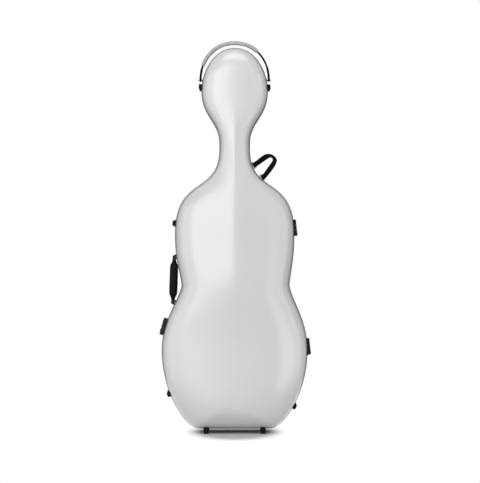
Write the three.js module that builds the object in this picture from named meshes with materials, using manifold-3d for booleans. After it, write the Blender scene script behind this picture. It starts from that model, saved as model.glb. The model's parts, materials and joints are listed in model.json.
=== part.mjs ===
// Hard case for a cello: two moulded shells hinged along their right side, with rims, latches,
// a number lock, three handles, feet and the supports inside.
// Millimetres, +Z up. The lid faces -Y, the hinges are on the +X side and the feet stand on z = 0.

import * as THREE from 'three';
import { mergeVertices } from 'three/addons/utils/BufferGeometryUtils.js';
import Module from 'manifold-3d';

const wasm = await Module();
wasm.setup();

// Clearance between touching pieces, running clearance and the overrun of a cut
const gap = 0.3;
const runningGap = 0.4;
const overrun = 3;

// Body outline: each level stands on the one below it, and widths are over the rims
const bottomFlatWidth = 246;
const lowerBoutHeight = 275;
const lowerBoutWidth = 514;
const waistRise = 229;
const waistHalfRight = 193;
const waistHalfLeft = 187;
const upperBoutRise = 181;
const upperBoutWidth = 421;
const neckRise = 297;
const neckLength = 21;
const neckWidth = 108;
const headRise = 182;
const headWidth = 234;
const headTopRise = 155;

// Depths of the two shells from the seam, at the levels of the outline
const backLowerDepth = 152;
const backUpperDepth = 134;
const backNeckDepth = 100;
const backHeadDepth = 96;
const lidLowerDepth = 112;
const lidWaistDepth = 124;
const lidUpperDepth = 112;
const lidNeckDepth = 84;
const lidHeadDepth = 84;
const ridgeRise = 9;
const spineMargin = 110;

// Walls, rims, seal and lining
const shellWall = 3.5;
const rimWall = 2.3;
const rimDepth = 14;
const rimWeb = 3.2;
const shellLip = 17;
const sealWidth = 4.2;
const sealHeight = 2.4;
const liningThickness = 5;

// Hinges, placed by their lift above the bout beside them
const hingeReach = 6;
const hingeLength = 58;
const hingeKnuckle = 15;
const hingeRadius = 5;
const hingePinRadius = 2;
const hingeLeaf = 2.4;
const hingePlateDepth = 42;
const hingeLowerLift = 13;
const hingeUpperLift = 21;

// Draw latches
const latchLength = 24;
const latchProud = 10;
const latchEar = 3;
const latchPlate = 2;
const latchReach = 30;
const latchPivotDepth = 38;
const latchPivotOut = 4.6;
const latchPinRadius = 1.6;
const latchLeverThickness = 2.6;
const latchLift = 3.4;
const shortLatchReach = 17;
const shortLatchLift = 5;
const shortKeeperProud = 0.4;
const latchHeadLift = 17;
const latchUpperLift = 37;
const latchLowerLeftHeight = 122;
const latchLowerRightHeight = 78;

// Number lock
const lockLength = 60;
const lockProud = 13;
const lockLift = 81;
const lockDepth = 48;
const lockKeeperDepth = 34;
const lockChamfer = 4;
const lockAxleRadius = 1.6;
const dialRadius = 9;
const dialWidth = 5;
const dialPitch = 8.5;
const dialFaces = 10;
const dialDepth = 30;
const slideLength = 10;
const slideTravel = 5;
const slideWidth = 8;
const slideProud = 2;

// Handles: depth behind the seam and the pins that they all turn on
const handleDepth = 34;
const handlePinRadius = 2.5;

// Padded carry handle at the left waist
const sideHandleTopLift = 98;
const sideHandleFootDrop = 63;
const sideHandleOut = 9;
const sideHandleGrip = 118;
const sideHandleShoulder = 9;
const sideHandleWidth = 29;
const sideHandleThickness = 26;
const sideHandleNeck = 18;
const sideHandleTip = 10;
const bracketLength = 12;
const bracketTail = 8;
const bracketWidth = 22;
const bracketCrest = 6.5;

// Head handle
const headHandleLift = 44;
const headHandleClear = 21;
const headHandleOut = 4;
const headHandleFullness = 2.1;
const headStrapWidth = 20;
const headStrapThickness = 4;
const sleeveWidth = 26;
const sleeveThickness = 14;
const sleeveFromAngle = 50;
const sleeveToAngle = 158;
const arcSteps = 22;
const chapeLength = 16;
const chapeProud = 2;

// Webbing loop below the neck
const loopUpperDrop = 56;
const loopLowerDrop = 102;
const loopWidth = 18;
const loopThickness = 4;
const loopReach = 80;
const loopPinOut = 7;
const loopBlockLength = 16;
const loopEar = 3;

// Its outline and opening, as shares of its reach and of the half length of its root
const loopOuterShares = [
  [0, 1], [0.12, 1], [0.6, 1.08], [0.78, 0.96], [0.94, 0.62],
  [1, 0.1], [0.95, -0.24], [0.72, -0.56], [0.12, -1], [0, -1],
];
const loopInnerShares = [
  [0, 1], [0.12, 1], [0.72, 1.06], [0.83, 0.76], [0.82, 0.3], [0.71, 0], [0.12, -1], [0, -1],
];

// Feet
const footHeight = 14;
const footTopRadius = 10;
const footSoleRadius = 8.5;
const footRoot = 36;
const footInset = 24;
const backFootDepth = 84;
const lidFootDepth = 62;

// Supports in the back shell
const padRound = 26;
const padTop = 26;
const endBlockHeight = 62;
const endBlockHalf = 120;
const endPinRadius = 16;
const endPinDepth = 62;
const waistPadHalf = 42;
const waistPadReach = 47;
const shoulderPadLift = 87;
const shoulderPadLength = 100;
const shoulderPadIn = 62;
const cradleDrop = 52;
const cradleLength = 80;
const cradleTop = 18;
const neckSlot = 44;
const neckSlotFloor = 62;
const strapWidth = 40;
const strapThickness = 3;
const strapOut = 3;
const strapPinRadius = 1.5;

// Pockets and bow rest in the lid
const pocketFoot = 60;
const pocketHead = 190;
const pocketHalf = 105;
const pocketFront = 66;
const bowRestDrop = 64;
const bowRestLength = 30;
const bowRestHalf = 92;
const bowRestTop = 84;
const bowSpread = 56;
const bowGroove = 14;
const tipDrop = 65;
const tipLength = 55;
const tipHalf = 70;
const tipFront = 52;
const clipLength = 34;
const clipWidth = 10;
const clipThickness = 6;
const clipPostRadius = 4;

// Loops on the back for carrying straps
const strapLoopLowerHeight = 150;
const strapLoopUpperDrop = 45;
const strapLoopHalf = 24;
const strapLoopRise = 14;
const strapLoopWidth = 14;
const strapLoopBar = 6;

// Levels of the outline, added up
const waistHeight = lowerBoutHeight + waistRise;
const upperBoutHeight = waistHeight + upperBoutRise;
const neckHeight = upperBoutHeight + neckRise;
const neckTop = neckHeight + neckLength;
const headHeight = neckTop + headRise;
const bodyHeight = headHeight + headTopRise;

// Shares of a stretch's width and height that place the handles of its curve
const cornerShares = [0.426, 0.501];
const lowerSideShares = [0.469, 0.235, 0.13];
const upperSideShares = [0.328, 0.507, 0.325];
const shoulderShares = [0.7, 0.543];
const headSideShares = [0.421, 0.485];
const headTopShares = [0.5, 0.603];

// Rings of a shell, as shares of the way out from its spine, and the fullness of its section
const ringShares = [0.98, 0.92, 0.8, 0.58, 0.3, 0.12, 0];
const ridgeRoundShare = 0.06;
const ridgeSpreadShare = 0.6;
const fullness = 3;
const roundShare = 0.3;

const sides = [['left', -1], ['right', 1]];

// Geometry helpers
const { clamp, lerp, smoothstep } = THREE.MathUtils;

function closedGeometry(positions, triangles) {
  const raw = new THREE.BufferGeometry();
  raw.setAttribute('position', new THREE.Float32BufferAttribute(positions, 3));
  raw.setIndex(triangles);
  const merged = mergeVertices(raw, 1e-4);
  const index = Array.from(merged.index.array);
  const kept = [];
  for (let i = 0; i < index.length; i += 3) {
    const [a, b, c] = index.slice(i, i + 3);
    if (a !== b && b !== c && c !== a) kept.push(a, b, c);
  }
  merged.setIndex(signedVolume(merged.attributes.position, kept) < 0 ? kept.reverse() : kept);
  return merged;
}

function signedVolume(position, index) {
  const corner = (i) => new THREE.Vector3().fromBufferAttribute(position, index[i]);
  let sum = 0;
  for (let i = 0; i < index.length; i += 3) sum += corner(i).dot(corner(i + 1).cross(corner(i + 2)));
  return sum;
}

function solidOf(geometry) {
  const bare = geometry.clone();
  bare.deleteAttribute('normal');
  bare.deleteAttribute('uv');
  const merged = mergeVertices(bare, 1e-4);
  const mesh = new wasm.Mesh({
    numProp: 3,
    vertProperties: new Float32Array(merged.attributes.position.array),
    triVerts: new Uint32Array(merged.index.array),
  });
  mesh.merge();
  return new wasm.Manifold(mesh);
}

function geometryOf(solid) {
  const mesh = solid.getMesh();
  const geometry = new THREE.BufferGeometry();
  geometry.setAttribute('position', new THREE.Float32BufferAttribute(mesh.vertProperties, 3));
  geometry.setIndex(Array.from(mesh.triVerts));
  return geometry;
}

function moved(solid, matrix) {
  return solid.transform(matrix.elements);
}

// A closed skin through rings of equal count. A closed loop of rings joins its last ring to its first.
// Its second half runs back inside the first, so its quads are halved the other way and walls stay even.
function loft(rings, loop = false) {
  const count = rings[0].length;
  const positions = rings.flat().flatMap((point) => [point.x, point.y, point.z]);
  const triangles = [];
  const last = loop ? rings.length : rings.length - 1;
  for (let ring = 0; ring < last; ring += 1) {
    const here = ring * count;
    const there = ((ring + 1) % rings.length) * count;
    const returning = loop && ring >= rings.length / 2;
    for (let i = 0; i < count; i += 1) {
      const j = (i + 1) % count;
      if (returning) triangles.push(here + i, here + j, there + i, here + j, there + j, there + i);
      else triangles.push(here + i, here + j, there + j, here + i, there + j, there + i);
    }
  }
  return closedGeometry(positions, triangles);
}

// The same with a fan over each end ring
function cappedLoft(rings) {
  const middle = (ring) => {
    const centre = ring.reduce((sum, point) => sum.add(point), new THREE.Vector3());
    return centre.divideScalar(ring.length);
  };
  const first = middle(rings[0]);
  const last = middle(rings[rings.length - 1]);
  return loft([rings[0].map(() => first), ...rings, rings[0].map(() => last)]);
}

// A block between two corners
function block(x0, x1, y0, y1, z0, z1) {
  const geometry = new THREE.BoxGeometry(x1 - x0, y1 - y0, z1 - z0);
  geometry.translate((x0 + x1) / 2, (y0 + y1) / 2, (z0 + z1) / 2);
  return solidOf(geometry);
}

// A profile of [x, y] corners drawn out along z, half to each side of zero
function bar(corners, length) {
  const shape = new THREE.Shape(corners.map(([x, y]) => new THREE.Vector2(x, y)));
  const geometry = new THREE.ExtrudeGeometry(shape, { depth: length, bevelEnabled: false });
  geometry.translate(0, 0, -length / 2);
  return solidOf(geometry);
}

// A round pin along z through [x, y], half to each side of zero
function pin(radius, length, [x, y] = [0, 0], faces = 12) {
  const geometry = new THREE.CylinderGeometry(radius, radius, length, faces);
  geometry.rotateX(Math.PI / 2);
  geometry.translate(x, y, 0);
  return solidOf(geometry);
}

function shifted(solid, x, y, z) {
  return solid.translate([x, y, z]);
}

// Smooth steps between stations of [height, value]
function profileAt(stations, height) {
  const clamped = clamp(height, stations[0][0], stations[stations.length - 1][0]);
  const next = Math.max(1, stations.findIndex(([z]) => z >= clamped));
  const [z0, v0] = stations[next - 1];
  const [z1, v1] = stations[next];
  return lerp(v0, v1, smoothstep(clamped, z0, z1));
}

// The outline, right half and left half: stretches with their handles and the number of steps
function halfOutline(waistHalf) {
  const flat = bottomFlatWidth / 2;
  const low = lowerBoutWidth / 2;
  const high = upperBoutWidth / 2;
  const neck = neckWidth / 2;
  const head = headWidth / 2;
  const corner = low - flat;
  const stretches = [
    [[flat, 0], [flat + corner * cornerShares[0], 0],
      [low, lowerBoutHeight * (1 - cornerShares[1])], [low, lowerBoutHeight], 5],
    [[low, lowerBoutHeight], [low, lowerBoutHeight + waistRise * lowerSideShares[0]],
      [lerp(waistHalf, low, lowerSideShares[2]), waistHeight - waistRise * lowerSideShares[1]],
      [waistHalf, waistHeight], 4],
    [[waistHalf, waistHeight],
      [lerp(waistHalf, high, upperSideShares[2]), waistHeight + upperBoutRise * upperSideShares[0]],
      [high, upperBoutHeight - upperBoutRise * upperSideShares[1]], [high, upperBoutHeight], 3],
    [[high, upperBoutHeight], [high, upperBoutHeight + neckRise * shoulderShares[0]],
      [neck, neckHeight - neckRise * shoulderShares[1]], [neck, neckHeight], 6],
    [[neck, neckHeight], [neck, neckHeight], [neck, neckTop], [neck, neckTop], 1],
    [[neck, neckTop], [neck, neckTop + headRise * headSideShares[0]],
      [head, headHeight - headRise * headSideShares[1]], [head, headHeight], 4],
    [[head, headHeight], [head, headHeight + headTopRise * headTopShares[0]],
      [head * headTopShares[1], bodyHeight], [0, bodyHeight], 5],
  ];
  return stretches.map(([a, b, c, d, steps]) => ({
    curve: new THREE.CubicBezierCurve(...[a, b, c, d].map(([x, z]) => new THREE.Vector2(x, z))),
    steps,
  }));
}

const rightHalf = halfOutline(waistHalfRight);
const leftHalf = halfOutline(waistHalfLeft);

// Points of the outline with their outward normals, anticlockwise seen from the lid
function sampledHalf(half, side) {
  const samples = [];
  half.forEach(({ curve, steps }) => {
    for (let step = 0; step < steps; step += 1) {
      const point = curve.getPoint(step / steps);
      const tangent = curve.getTangent(Math.max(step / steps, 1e-3));
      samples.push({ x: side * point.x, z: point.y, nx: side * tangent.y, nz: -tangent.x });
    }
  });
  return samples;
}

const topSample = { x: 0, z: bodyHeight, nx: 0, nz: 1 };
const outlineSamples = [
  ...sampledHalf(rightHalf, 1),
  topSample,
  ...sampledHalf(leftHalf, -1).reverse(),
];

// Insets from the rims' outer face
const shellInset = rimWall + gap;
const shellInner = shellInset + shellWall;
const rimInner = shellInner + gap + rimWall;
const liningInset = shellInner + gap;
const cavityInset = liningInset + liningThickness + gap;
const edge = gap + rimWeb + gap;

// Depth of a shell's outer face over the seam, and the soft ridge of the lid from the neck to the waist
const backStations = [
  [lowerBoutHeight, backLowerDepth], [upperBoutHeight, backUpperDepth],
  [neckHeight, backNeckDepth], [headHeight, backHeadDepth],
];
const lidStations = [
  [lowerBoutHeight, lidLowerDepth], [waistHeight, lidWaistDepth], [upperBoutHeight, lidUpperDepth],
  [neckHeight, lidNeckDepth], [headHeight, lidHeadDepth],
];
const ridgeStations = [
  [waistHeight - spineMargin, 0], [upperBoutHeight, ridgeRise],
  [neckHeight - spineMargin, ridgeRise], [headHeight, 0],
];
const back = { side: 1, stations: backStations, ridge: false };
const lid = { side: -1, stations: lidStations, ridge: true };

// One ring of a shell face: share of the way out from the spine, inset from the rims' outer face
function faceRing(shell, inset, share, depthAt) {
  return outlineSamples.map((sample) => {
    const spine = clamp(sample.z, spineMargin, bodyHeight - spineMargin);
    const x = (sample.x - sample.nx * inset) * share;
    const z = lerp(spine, sample.z - sample.nz * inset, share);
    return new THREE.Vector3(x, shell.side * depthAt(z), z);
  });
}

// How much of the ridge is left at a share of the way out: a low roof with a rounded crest
function crownAt(share) {
  const run = Math.hypot(share, ridgeRoundShare) - ridgeRoundShare;
  return (1 - clamp(run / ridgeSpreadShare, 0, 1)) ** 2;
}

function domeRings(shell, inset) {
  const skin = inset - shellInset;
  return ringShares.map((share) => faceRing(shell, inset, share, (z) => {
    const depth = profileAt(shell.stations, z) - skin;
    const rise = (1 - share ** fullness) ** (1 / fullness);
    const ridge = shell.ridge ? profileAt(ridgeStations, z) : 0;
    return shellLip + (depth - shellLip) * rise + ridge * crownAt(share);
  }));
}

function flatRing(shell, inset, depth, share = 1) {
  return faceRing(shell, inset, share, () => depth);
}

// A moulded shell: outer face, inner face and the edge that stands in the rim's channel
function shellGeometry(shell) {
  return loft([
    flatRing(shell, shellInset, edge),
    flatRing(shell, shellInset, shellLip),
    ...domeRings(shell, shellInset),
    ...domeRings(shell, shellInner).reverse(),
    flatRing(shell, shellInner, shellLip),
    flatRing(shell, shellInner, edge),
  ], true);
}

function liningGeometry(shell) {
  const inner = liningInset + liningThickness;
  return loft([
    flatRing(shell, liningInset, rimDepth + gap),
    ...domeRings(shell, liningInset),
    ...domeRings(shell, inner).reverse(),
    flatRing(shell, inner, rimDepth + gap),
  ], true);
}

// A ring round the outline with the section [inset, depth]
function rimGeometry(shell, section) {
  return loft(section.map(([inset, depth]) => flatRing(shell, inset, depth)), true);
}

// The channel section of a rim; the back rim is stepped for the seal
const channel = [
  [0, rimDepth], [rimWall, rimDepth], [rimWall, gap + rimWeb],
  [shellInner + gap, gap + rimWeb], [shellInner + gap, rimDepth], [rimInner, rimDepth],
];
const sealOuter = rimInner - sealWidth;
const sealSeat = gap + sealHeight + gap;
const backRimSection = [
  [0, gap], ...channel, [rimInner, sealSeat], [sealOuter - gap, sealSeat], [sealOuter - gap, gap],
];
const lidRimSection = [[0, gap], ...channel, [rimInner, gap]];
const sealSection = [
  [sealOuter, 0], [rimInner, 0], [rimInner, gap + sealHeight], [sealOuter, gap + sealHeight],
];

// Materials
function finish(color, roughness, metalness = 0) {
  return new THREE.MeshStandardMaterial({ color, roughness, metalness });
}
const gloss = finish('#eceded', 0.12);
const aluminium = finish('#9b9da0', 0.35, 0.8);
const rubber = finish('#17181a', 0.8);
const plush = finish('#2a2c33', 0.95);
const foam = finish('#33353d', 0.95);
const blackPlastic = finish('#151618', 0.45);
const blackMetal = finish('#1c1d1f', 0.4, 0.6);
const steel = finish('#b9bcc0', 0.25, 0.9);
const leather = finish('#1b1a1a', 0.55);
const webbing = finish('#141416', 0.85);
const greySleeve = finish('#a9acaf', 0.6);

const caseBody = new THREE.Group();

function place(name, geometry, material, parent = caseBody) {
  const mesh = new THREE.Mesh(geometry, material);
  mesh.name = name;
  parent.add(mesh);
  return mesh;
}

place('back_shell', shellGeometry(back), gloss);
place('lid_shell', shellGeometry(lid), gloss);
place('back_rim', rimGeometry(back, backRimSection), aluminium);
place('lid_rim', rimGeometry(lid, lidRimSection), aluminium);
place('rim_seal', rimGeometry(back, sealSection), rubber);
place('back_lining', liningGeometry(back), plush);
place('lid_lining', liningGeometry(lid), plush);

// The closed body grown by a gap: what stands on a wall is cut by it, so each foot follows the curve
function bodySolid(growth) {
  const skin = shellInset - growth;
  const domes = [back, lid].map((shell) => [
    flatRing(shell, skin, shellLip), ...domeRings(shell, skin),
  ]);
  const shells = solidOf(loft([...domes[0].reverse(), ...domes[1]]));
  const band = rimDepth + growth;
  const rims = solidOf(loft([
    flatRing(back, -growth, band, 0), flatRing(back, -growth, band),
    flatRing(back, -growth, -band), flatRing(back, -growth, -band, 0),
  ]));
  return shells.add(rims);
}
const bodyCutter = bodySolid(gap);

// A frame on the side wall: x points out of the wall, y to the back and z along the wall
function wallFrame(side, height, out = 0, depth = 0) {
  const half = side > 0 ? rightHalf : leftHalf;
  const stretch = half.find(({ curve }) => curve.v3.y >= height);
  let low = 0;
  let high = 1;
  while (high - low > 1e-6) {
    const middle = (low + high) / 2;
    if (stretch.curve.getPoint(middle).y < height) low = middle;
    else high = middle;
  }
  const point = stretch.curve.getPoint(low);
  const tangent = stretch.curve.getTangent(low);
  const normal = new THREE.Vector3(side * tangent.y, 0, -tangent.x);
  return frameAt(new THREE.Vector3(side * point.x, depth, point.y).addScaledVector(normal, out), normal);
}

function frameAt(origin, normal) {
  const towardsBack = new THREE.Vector3(0, 1, 0);
  const along = new THREE.Vector3().crossVectors(normal, towardsBack);
  return new THREE.Matrix4().makeBasis(normal, towardsBack, along).setPosition(origin);
}

function groupAt(frame, parent = caseBody) {
  const group = new THREE.Group();
  group.applyMatrix4(frame);
  parent.add(group);
  return group;
}

function onWall(solid, frame) {
  return solid.subtract(moved(bodyCutter, frame.clone().invert()));
}

// Hinges: both turn on one line that touches the two bouts
function touching(normal, from, to) {
  const stretch = outlineSamples.filter(({ x, z }) => x > 0 && z >= from && z <= to);
  const reach = (sample) => sample.x * normal.x + sample.z * normal.z;
  return stretch.reduce((best, sample) => (reach(sample) > reach(best) ? sample : best));
}

let hingeNormal = new THREE.Vector3(1, 0, 0);
let lowerTouch = touching(hingeNormal, 0, waistHeight);
let upperTouch = touching(hingeNormal, waistHeight, neckHeight);
for (let round = 0; round < 4; round += 1) {
  hingeNormal = new THREE.Vector3(upperTouch.z - lowerTouch.z, 0, lowerTouch.x - upperTouch.x).normalize();
  lowerTouch = touching(hingeNormal, 0, waistHeight);
  upperTouch = touching(hingeNormal, waistHeight, neckHeight);
}

// Section of one leaf in the frame of the hinge line, mirrored by side to the back or the lid
function leafSection(side) {
  const root = -hingeReach - shellInset - overrun;
  const step = -hingeReach + gap;
  const face = step + hingeLeaf;
  const low = step - shellInset + hingeLeaf;
  const corners = [
    [root, rimDepth], [step, rimDepth], [step, hingeRadius / 2], [face, hingeRadius / 2], [face, rimDepth],
    [low, rimDepth + hingeLeaf], [low, hingePlateDepth], [root, hingePlateDepth],
  ].map(([x, y]) => [x, side * y]);
  return side > 0 ? corners.reverse() : corners;
}

function hinge(name, height) {
  const share = (height - lowerTouch.z) / (upperTouch.z - lowerTouch.z);
  const centre = new THREE.Vector3(lerp(lowerTouch.x, upperTouch.x, share), 0, height)
    .addScaledVector(hingeNormal, hingeReach);
  const frame = frameAt(centre, hingeNormal);
  const group = groupAt(frame);
  const outer = (hingeLength - hingeKnuckle) / 2;
  const shift = (hingeLength - outer) / 2;
  const reach = hingeRadius + runningGap;
  const half = hingeKnuckle / 2 + runningGap;
  const window = block(-hingeRadius - hingeLeaf, hingeRadius, -reach, reach, -half, half);
  const backLeaf = [-1, 1].reduce(
    (leaf, way) => leaf.add(shifted(pin(hingeRadius, outer - runningGap), 0, 0, way * shift)),
    bar(leafSection(1), hingeLength),
  ).subtract(window).add(pin(hingePinRadius, hingeLength));
  const lidKnuckle = hingeKnuckle - runningGap;
  const lidWindow = window.scale([1, 1, outer / lidKnuckle]);
  const lidLeaf = [-1, 1].reduce(
    (leaf, way) => leaf.subtract(shifted(lidWindow, 0, 0, way * shift)),
    bar(leafSection(-1), hingeLength),
  ).add(pin(hingeRadius, lidKnuckle)).subtract(pin(hingePinRadius + runningGap, hingeLength));
  place(`${name}_back_leaf`, geometryOf(onWall(backLeaf, frame)), blackMetal, group);
  place(`${name}_lid_leaf`, geometryOf(onWall(lidLeaf, frame)), blackMetal, group);
}
hinge('hinge_lower', lowerBoutHeight + hingeLowerLift);
hinge('hinge_upper', upperBoutHeight + hingeUpperLift);

// Draw latches: a base with two ears on the back shell, a lever with its hook and a keeper on the lid
function latch(name, side, height, reach = latchReach, lift = latchLift, keeperTop = lift - gap) {
  const frame = wallFrame(side, height);
  const group = groupAt(frame);
  const foot = -shellInset - overrun;
  const knuckle = latchPivotOut - latchPlate / 2 + gap;
  const leverHeight = latchLength - 2 * (latchEar + runningGap);
  const earEnd = latchPivotDepth + latchPivotOut;
  const plateTop = latchPlate - shellInset;
  const seamSide = rimDepth + gap;
  const pivot = [latchPivotOut, latchPivotDepth];
  const plate = bar([
    [foot, seamSide], [plateTop, seamSide], [plateTop, earEnd], [foot, earEnd],
  ], latchLength);
  const ear = bar([
    [foot, seamSide], [plateTop, seamSide],
    [latchPivotOut + latchPinRadius, latchPivotDepth - latchPivotOut],
    [latchProud - latchPlate, latchPivotDepth],
    [latchPivotOut + latchPinRadius, earEnd], [foot, earEnd],
  ], latchEar);
  const base = [-1, 1].reduce(
    (solid, way) => solid.add(shifted(ear, 0, 0, way * (latchLength - latchEar) / 2)), plate,
  ).subtract(pin(latchPinRadius + gap, latchLength + overrun, pivot, 10));
  place(`${name}_base`, geometryOf(onWall(base, frame)), blackMetal, group);

  const top = lift + latchLeverThickness;
  const lever = bar([
    [lift, -reach], [latchProud - latchPlate / 2, -reach - latchPlate], [latchProud, -reach],
    [top, -reach + latchProud - top], [top, 0],
    [latchProud - latchPlate, rimDepth], [latchPivotOut + knuckle, latchPivotDepth], pivot, [lift, rimDepth],
  ], leverHeight).add(pin(knuckle, leverHeight, pivot, 10)).add(pin(latchPinRadius, latchLength, pivot, 10));
  place(`${name}_lever`, geometryOf(lever), blackMetal, group);

  const keeper = bar([
    [foot, -seamSide], [plateTop, -seamSide], [keeperTop, -rimDepth - latchPlate],
    [keeperTop, -latchReach + latchPlate], [plateTop, -latchReach], [foot, -latchReach],
  ], latchLength - 2 * latchEar);
  place(`${name}_keeper`, geometryOf(onWall(keeper, frame)), blackMetal, group);
}
latch('latch_head_left', -1, headHeight + latchHeadLift);
latch('latch_upper_left', -1, upperBoutHeight + latchUpperLift);
latch('latch_lower_left', -1, latchLowerLeftHeight);

// The levers on the hinges' side are short, because the lid's edge swings out past them
const shortLatch = [shortLatchReach, shortLatchLift, shortKeeperProud];
latch('latch_head_right', 1, headHeight + latchHeadLift, ...shortLatch);
latch('latch_lower_right', 1, latchLowerRightHeight, ...shortLatch);

// Number lock: a body over the back shell's edge, three dials, a slide and a keeper on the lid
function lock() {
  const frame = wallFrame(-1, lowerBoutHeight + lockLift);
  const group = groupAt(frame);
  const foot = -shellInset - overrun;
  const dialOut = lockProud + dialWidth / 2 - dialRadius;
  const rowMiddle = -lockLength / 2 + lockChamfer + 2 * dialPitch;
  const dialPlaces = [-1, 0, 1].map((way) => rowMiddle + way * dialPitch);
  const slideMiddle = lockLength / 2 - lockChamfer - slideLength;
  const slideFloor = lockProud - lockChamfer;
  const slideHalf = slideLength / 2;
  const thumbSides = [dialDepth - slideWidth / 2, dialDepth + slideWidth / 2];
  const body = bar([
    [foot, gap], [slideFloor, gap], [lockProud, lockChamfer], [lockProud, lockDepth - lockChamfer],
    [slideFloor, lockDepth], [foot, lockDepth],
  ], lockLength);
  const slot = pin(dialRadius + runningGap, dialWidth + 2 * runningGap, [dialOut, dialDepth], 2 * dialFaces);
  const slideSlot = block(
    slideFloor, lockProud + overrun, thumbSides[0] - runningGap, thumbSides[1] + runningGap,
    slideMiddle - slideHalf - runningGap, slideMiddle + slideHalf + slideTravel + runningGap,
  );
  const axle = pin(lockAxleRadius, 2 * dialPitch + dialWidth + overrun, [dialOut, dialDepth]);
  const hollow = dialPlaces.reduce(
    (solid, along) => solid.subtract(shifted(slot, 0, 0, along)), body.subtract(slideSlot),
  );
  const housing = onWall(hollow.add(shifted(axle, 0, 0, rowMiddle)), frame);
  place('lock_body', geometryOf(housing), blackMetal, group);

  const wheel = pin(dialRadius, dialWidth, [0, 0], dialFaces)
    .subtract(pin(lockAxleRadius + gap, dialWidth + overrun, [0, 0], 10));
  dialPlaces.forEach((along, number) => {
    const dial = place(`lock_dial_${number + 1}`, geometryOf(wheel), steel, group);
    dial.position.set(dialOut, dialDepth, along);
  });
  const thumb = block(
    slideFloor + gap, lockProud + slideProud, ...thumbSides, slideMiddle - slideHalf, slideMiddle + slideHalf,
  );
  place('lock_slide', geometryOf(thumb), blackPlastic, group);

  const keeperTop = lockProud - lockChamfer;
  const keeper = bar([
    [foot, -lockKeeperDepth], [keeperTop - lockChamfer, -lockKeeperDepth],
    [keeperTop, -lockKeeperDepth + lockChamfer], [keeperTop, -gap - lockChamfer / 2],
    [keeperTop - lockChamfer, -gap], [foot, -gap],
  ], lockLength - 2 * lockChamfer);
  place('lock_keeper', geometryOf(onWall(keeper, frame)), blackMetal, group);
}
lock();

// An eight-cornered section of two widths, square to z
function padSection(width, thickness, corner, z) {
  const x = width / 2;
  const y = thickness / 2;
  const points = [
    [x, -y + corner], [x, y - corner], [x - corner, y], [-x + corner, y],
    [-x, y - corner], [-x, -y + corner], [-x + corner, -y], [x - corner, -y],
  ];
  return points.map(([px, py]) => new THREE.Vector3(px, py, z));
}

// A frame half way between two points of the wall, with z from the lower to the upper one
function frameBetween(side, upperFrame, lowerFrame) {
  const [upper, lower] = [upperFrame, lowerFrame].map(
    (end) => new THREE.Vector3().setFromMatrixPosition(end),
  );
  const along = upper.clone().sub(lower);
  const normal = new THREE.Vector3(side * along.z, 0, -side * along.x).normalize();
  const frame = frameAt(upper.clone().add(lower).multiplyScalar(1 / 2), normal);
  return { frame, reach: along.length() / 2 };
}

// Padded carry handle: it tilts on a pin in the bracket at each end
function sideHandle() {
  const { frame, reach } = frameBetween(
    -1,
    wallFrame(-1, waistHeight + sideHandleTopLift, sideHandleOut, handleDepth),
    wallFrame(-1, waistHeight - sideHandleFootDrop, sideHandleOut, handleDepth),
  );
  const group = groupAt(frame);
  const face = reach - bracketLength / 2 - gap;
  const half = sideHandleGrip / 2;
  const shoulder = sideHandleShoulder;
  const stations = [
    [face, sideHandleTip, sideHandleTip], [half, sideHandleNeck, sideHandleNeck],
    [half, sideHandleWidth - shoulder, sideHandleThickness - shoulder],
    [half - shoulder, sideHandleWidth, sideHandleThickness],
  ];
  const ringsTo = (way) => stations.map(
    ([z, width, thickness]) => padSection(width, thickness, thickness / 3, way * z),
  );
  const pad = solidOf(cappedLoft([...ringsTo(-1), ...ringsTo(1).reverse()]));
  const axle = pin(handlePinRadius, 2 * reach + bracketLength / 2);
  place('side_handle_grip', geometryOf(pad.add(axle)), leather, group);

  const foot = -sideHandleOut - shellInset - 3 * overrun;
  const bracketRing = (z, crest) => [
    [crest, -bracketWidth / 4], [crest, bracketWidth / 4], [-bracketCrest, bracketWidth / 2],
    [foot, bracketWidth / 2], [foot, -bracketWidth / 2], [-bracketCrest, -bracketWidth / 2],
  ].map(([x, y]) => new THREE.Vector3(x, y, z));
  const nearFace = -bracketLength / 2;
  const boreStart = nearFace - overrun;
  const boreEnd = bracketLength / 4 + runningGap;
  const bore = pin(handlePinRadius + gap, boreEnd - boreStart);
  const bracket = solidOf(cappedLoft([
    bracketRing(nearFace, bracketCrest), bracketRing(-nearFace, bracketCrest),
    bracketRing(bracketTail - nearFace, -bracketCrest),
  ])).subtract(shifted(bore, 0, 0, (boreStart + boreEnd) / 2));
  [['upper', -1, bracket.mirror([0, 0, 1])], ['lower', 1, bracket]].forEach(([end, way, shape]) => {
    const solid = onWall(shifted(shape, 0, 0, way * reach), frame);
    place(`side_handle_bracket_${end}`, geometryOf(solid), blackMetal, group);
  });
}
sideHandle();

// Head handle: a strap that arches over the head from a pin at each side, with a sleeve round its crown
const headHandleHeight = headHeight + headHandleLift;
const headHandleRise = bodyHeight + headHandleClear - headHandleHeight;
const headHandleHalf = headWidth / 2 + headHandleOut;

function arcPoint(turn) {
  const lean = (value) => Math.sign(value) * Math.abs(value) ** (2 / headHandleFullness);
  const height = headHandleHeight + headHandleRise * lean(Math.sin(turn));
  return new THREE.Vector3(headHandleHalf * lean(Math.cos(turn)), handleDepth, height);
}

// Corners of a section square to the arch, each [inward, depth] from its middle line
function arcRing(angle, corners) {
  const turn = THREE.MathUtils.degToRad(angle);
  const step = Math.PI / arcSteps / arcSteps;
  const before = arcPoint(Math.max(turn - step, 0));
  const tangent = arcPoint(Math.min(turn + step, Math.PI)).sub(before).normalize();
  const inward = new THREE.Vector3(-tangent.z, 0, tangent.x);
  return corners.map(([inside, depth]) => arcPoint(turn).addScaledVector(inward, inside)
    .add(new THREE.Vector3(0, depth, 0)));
}

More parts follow.
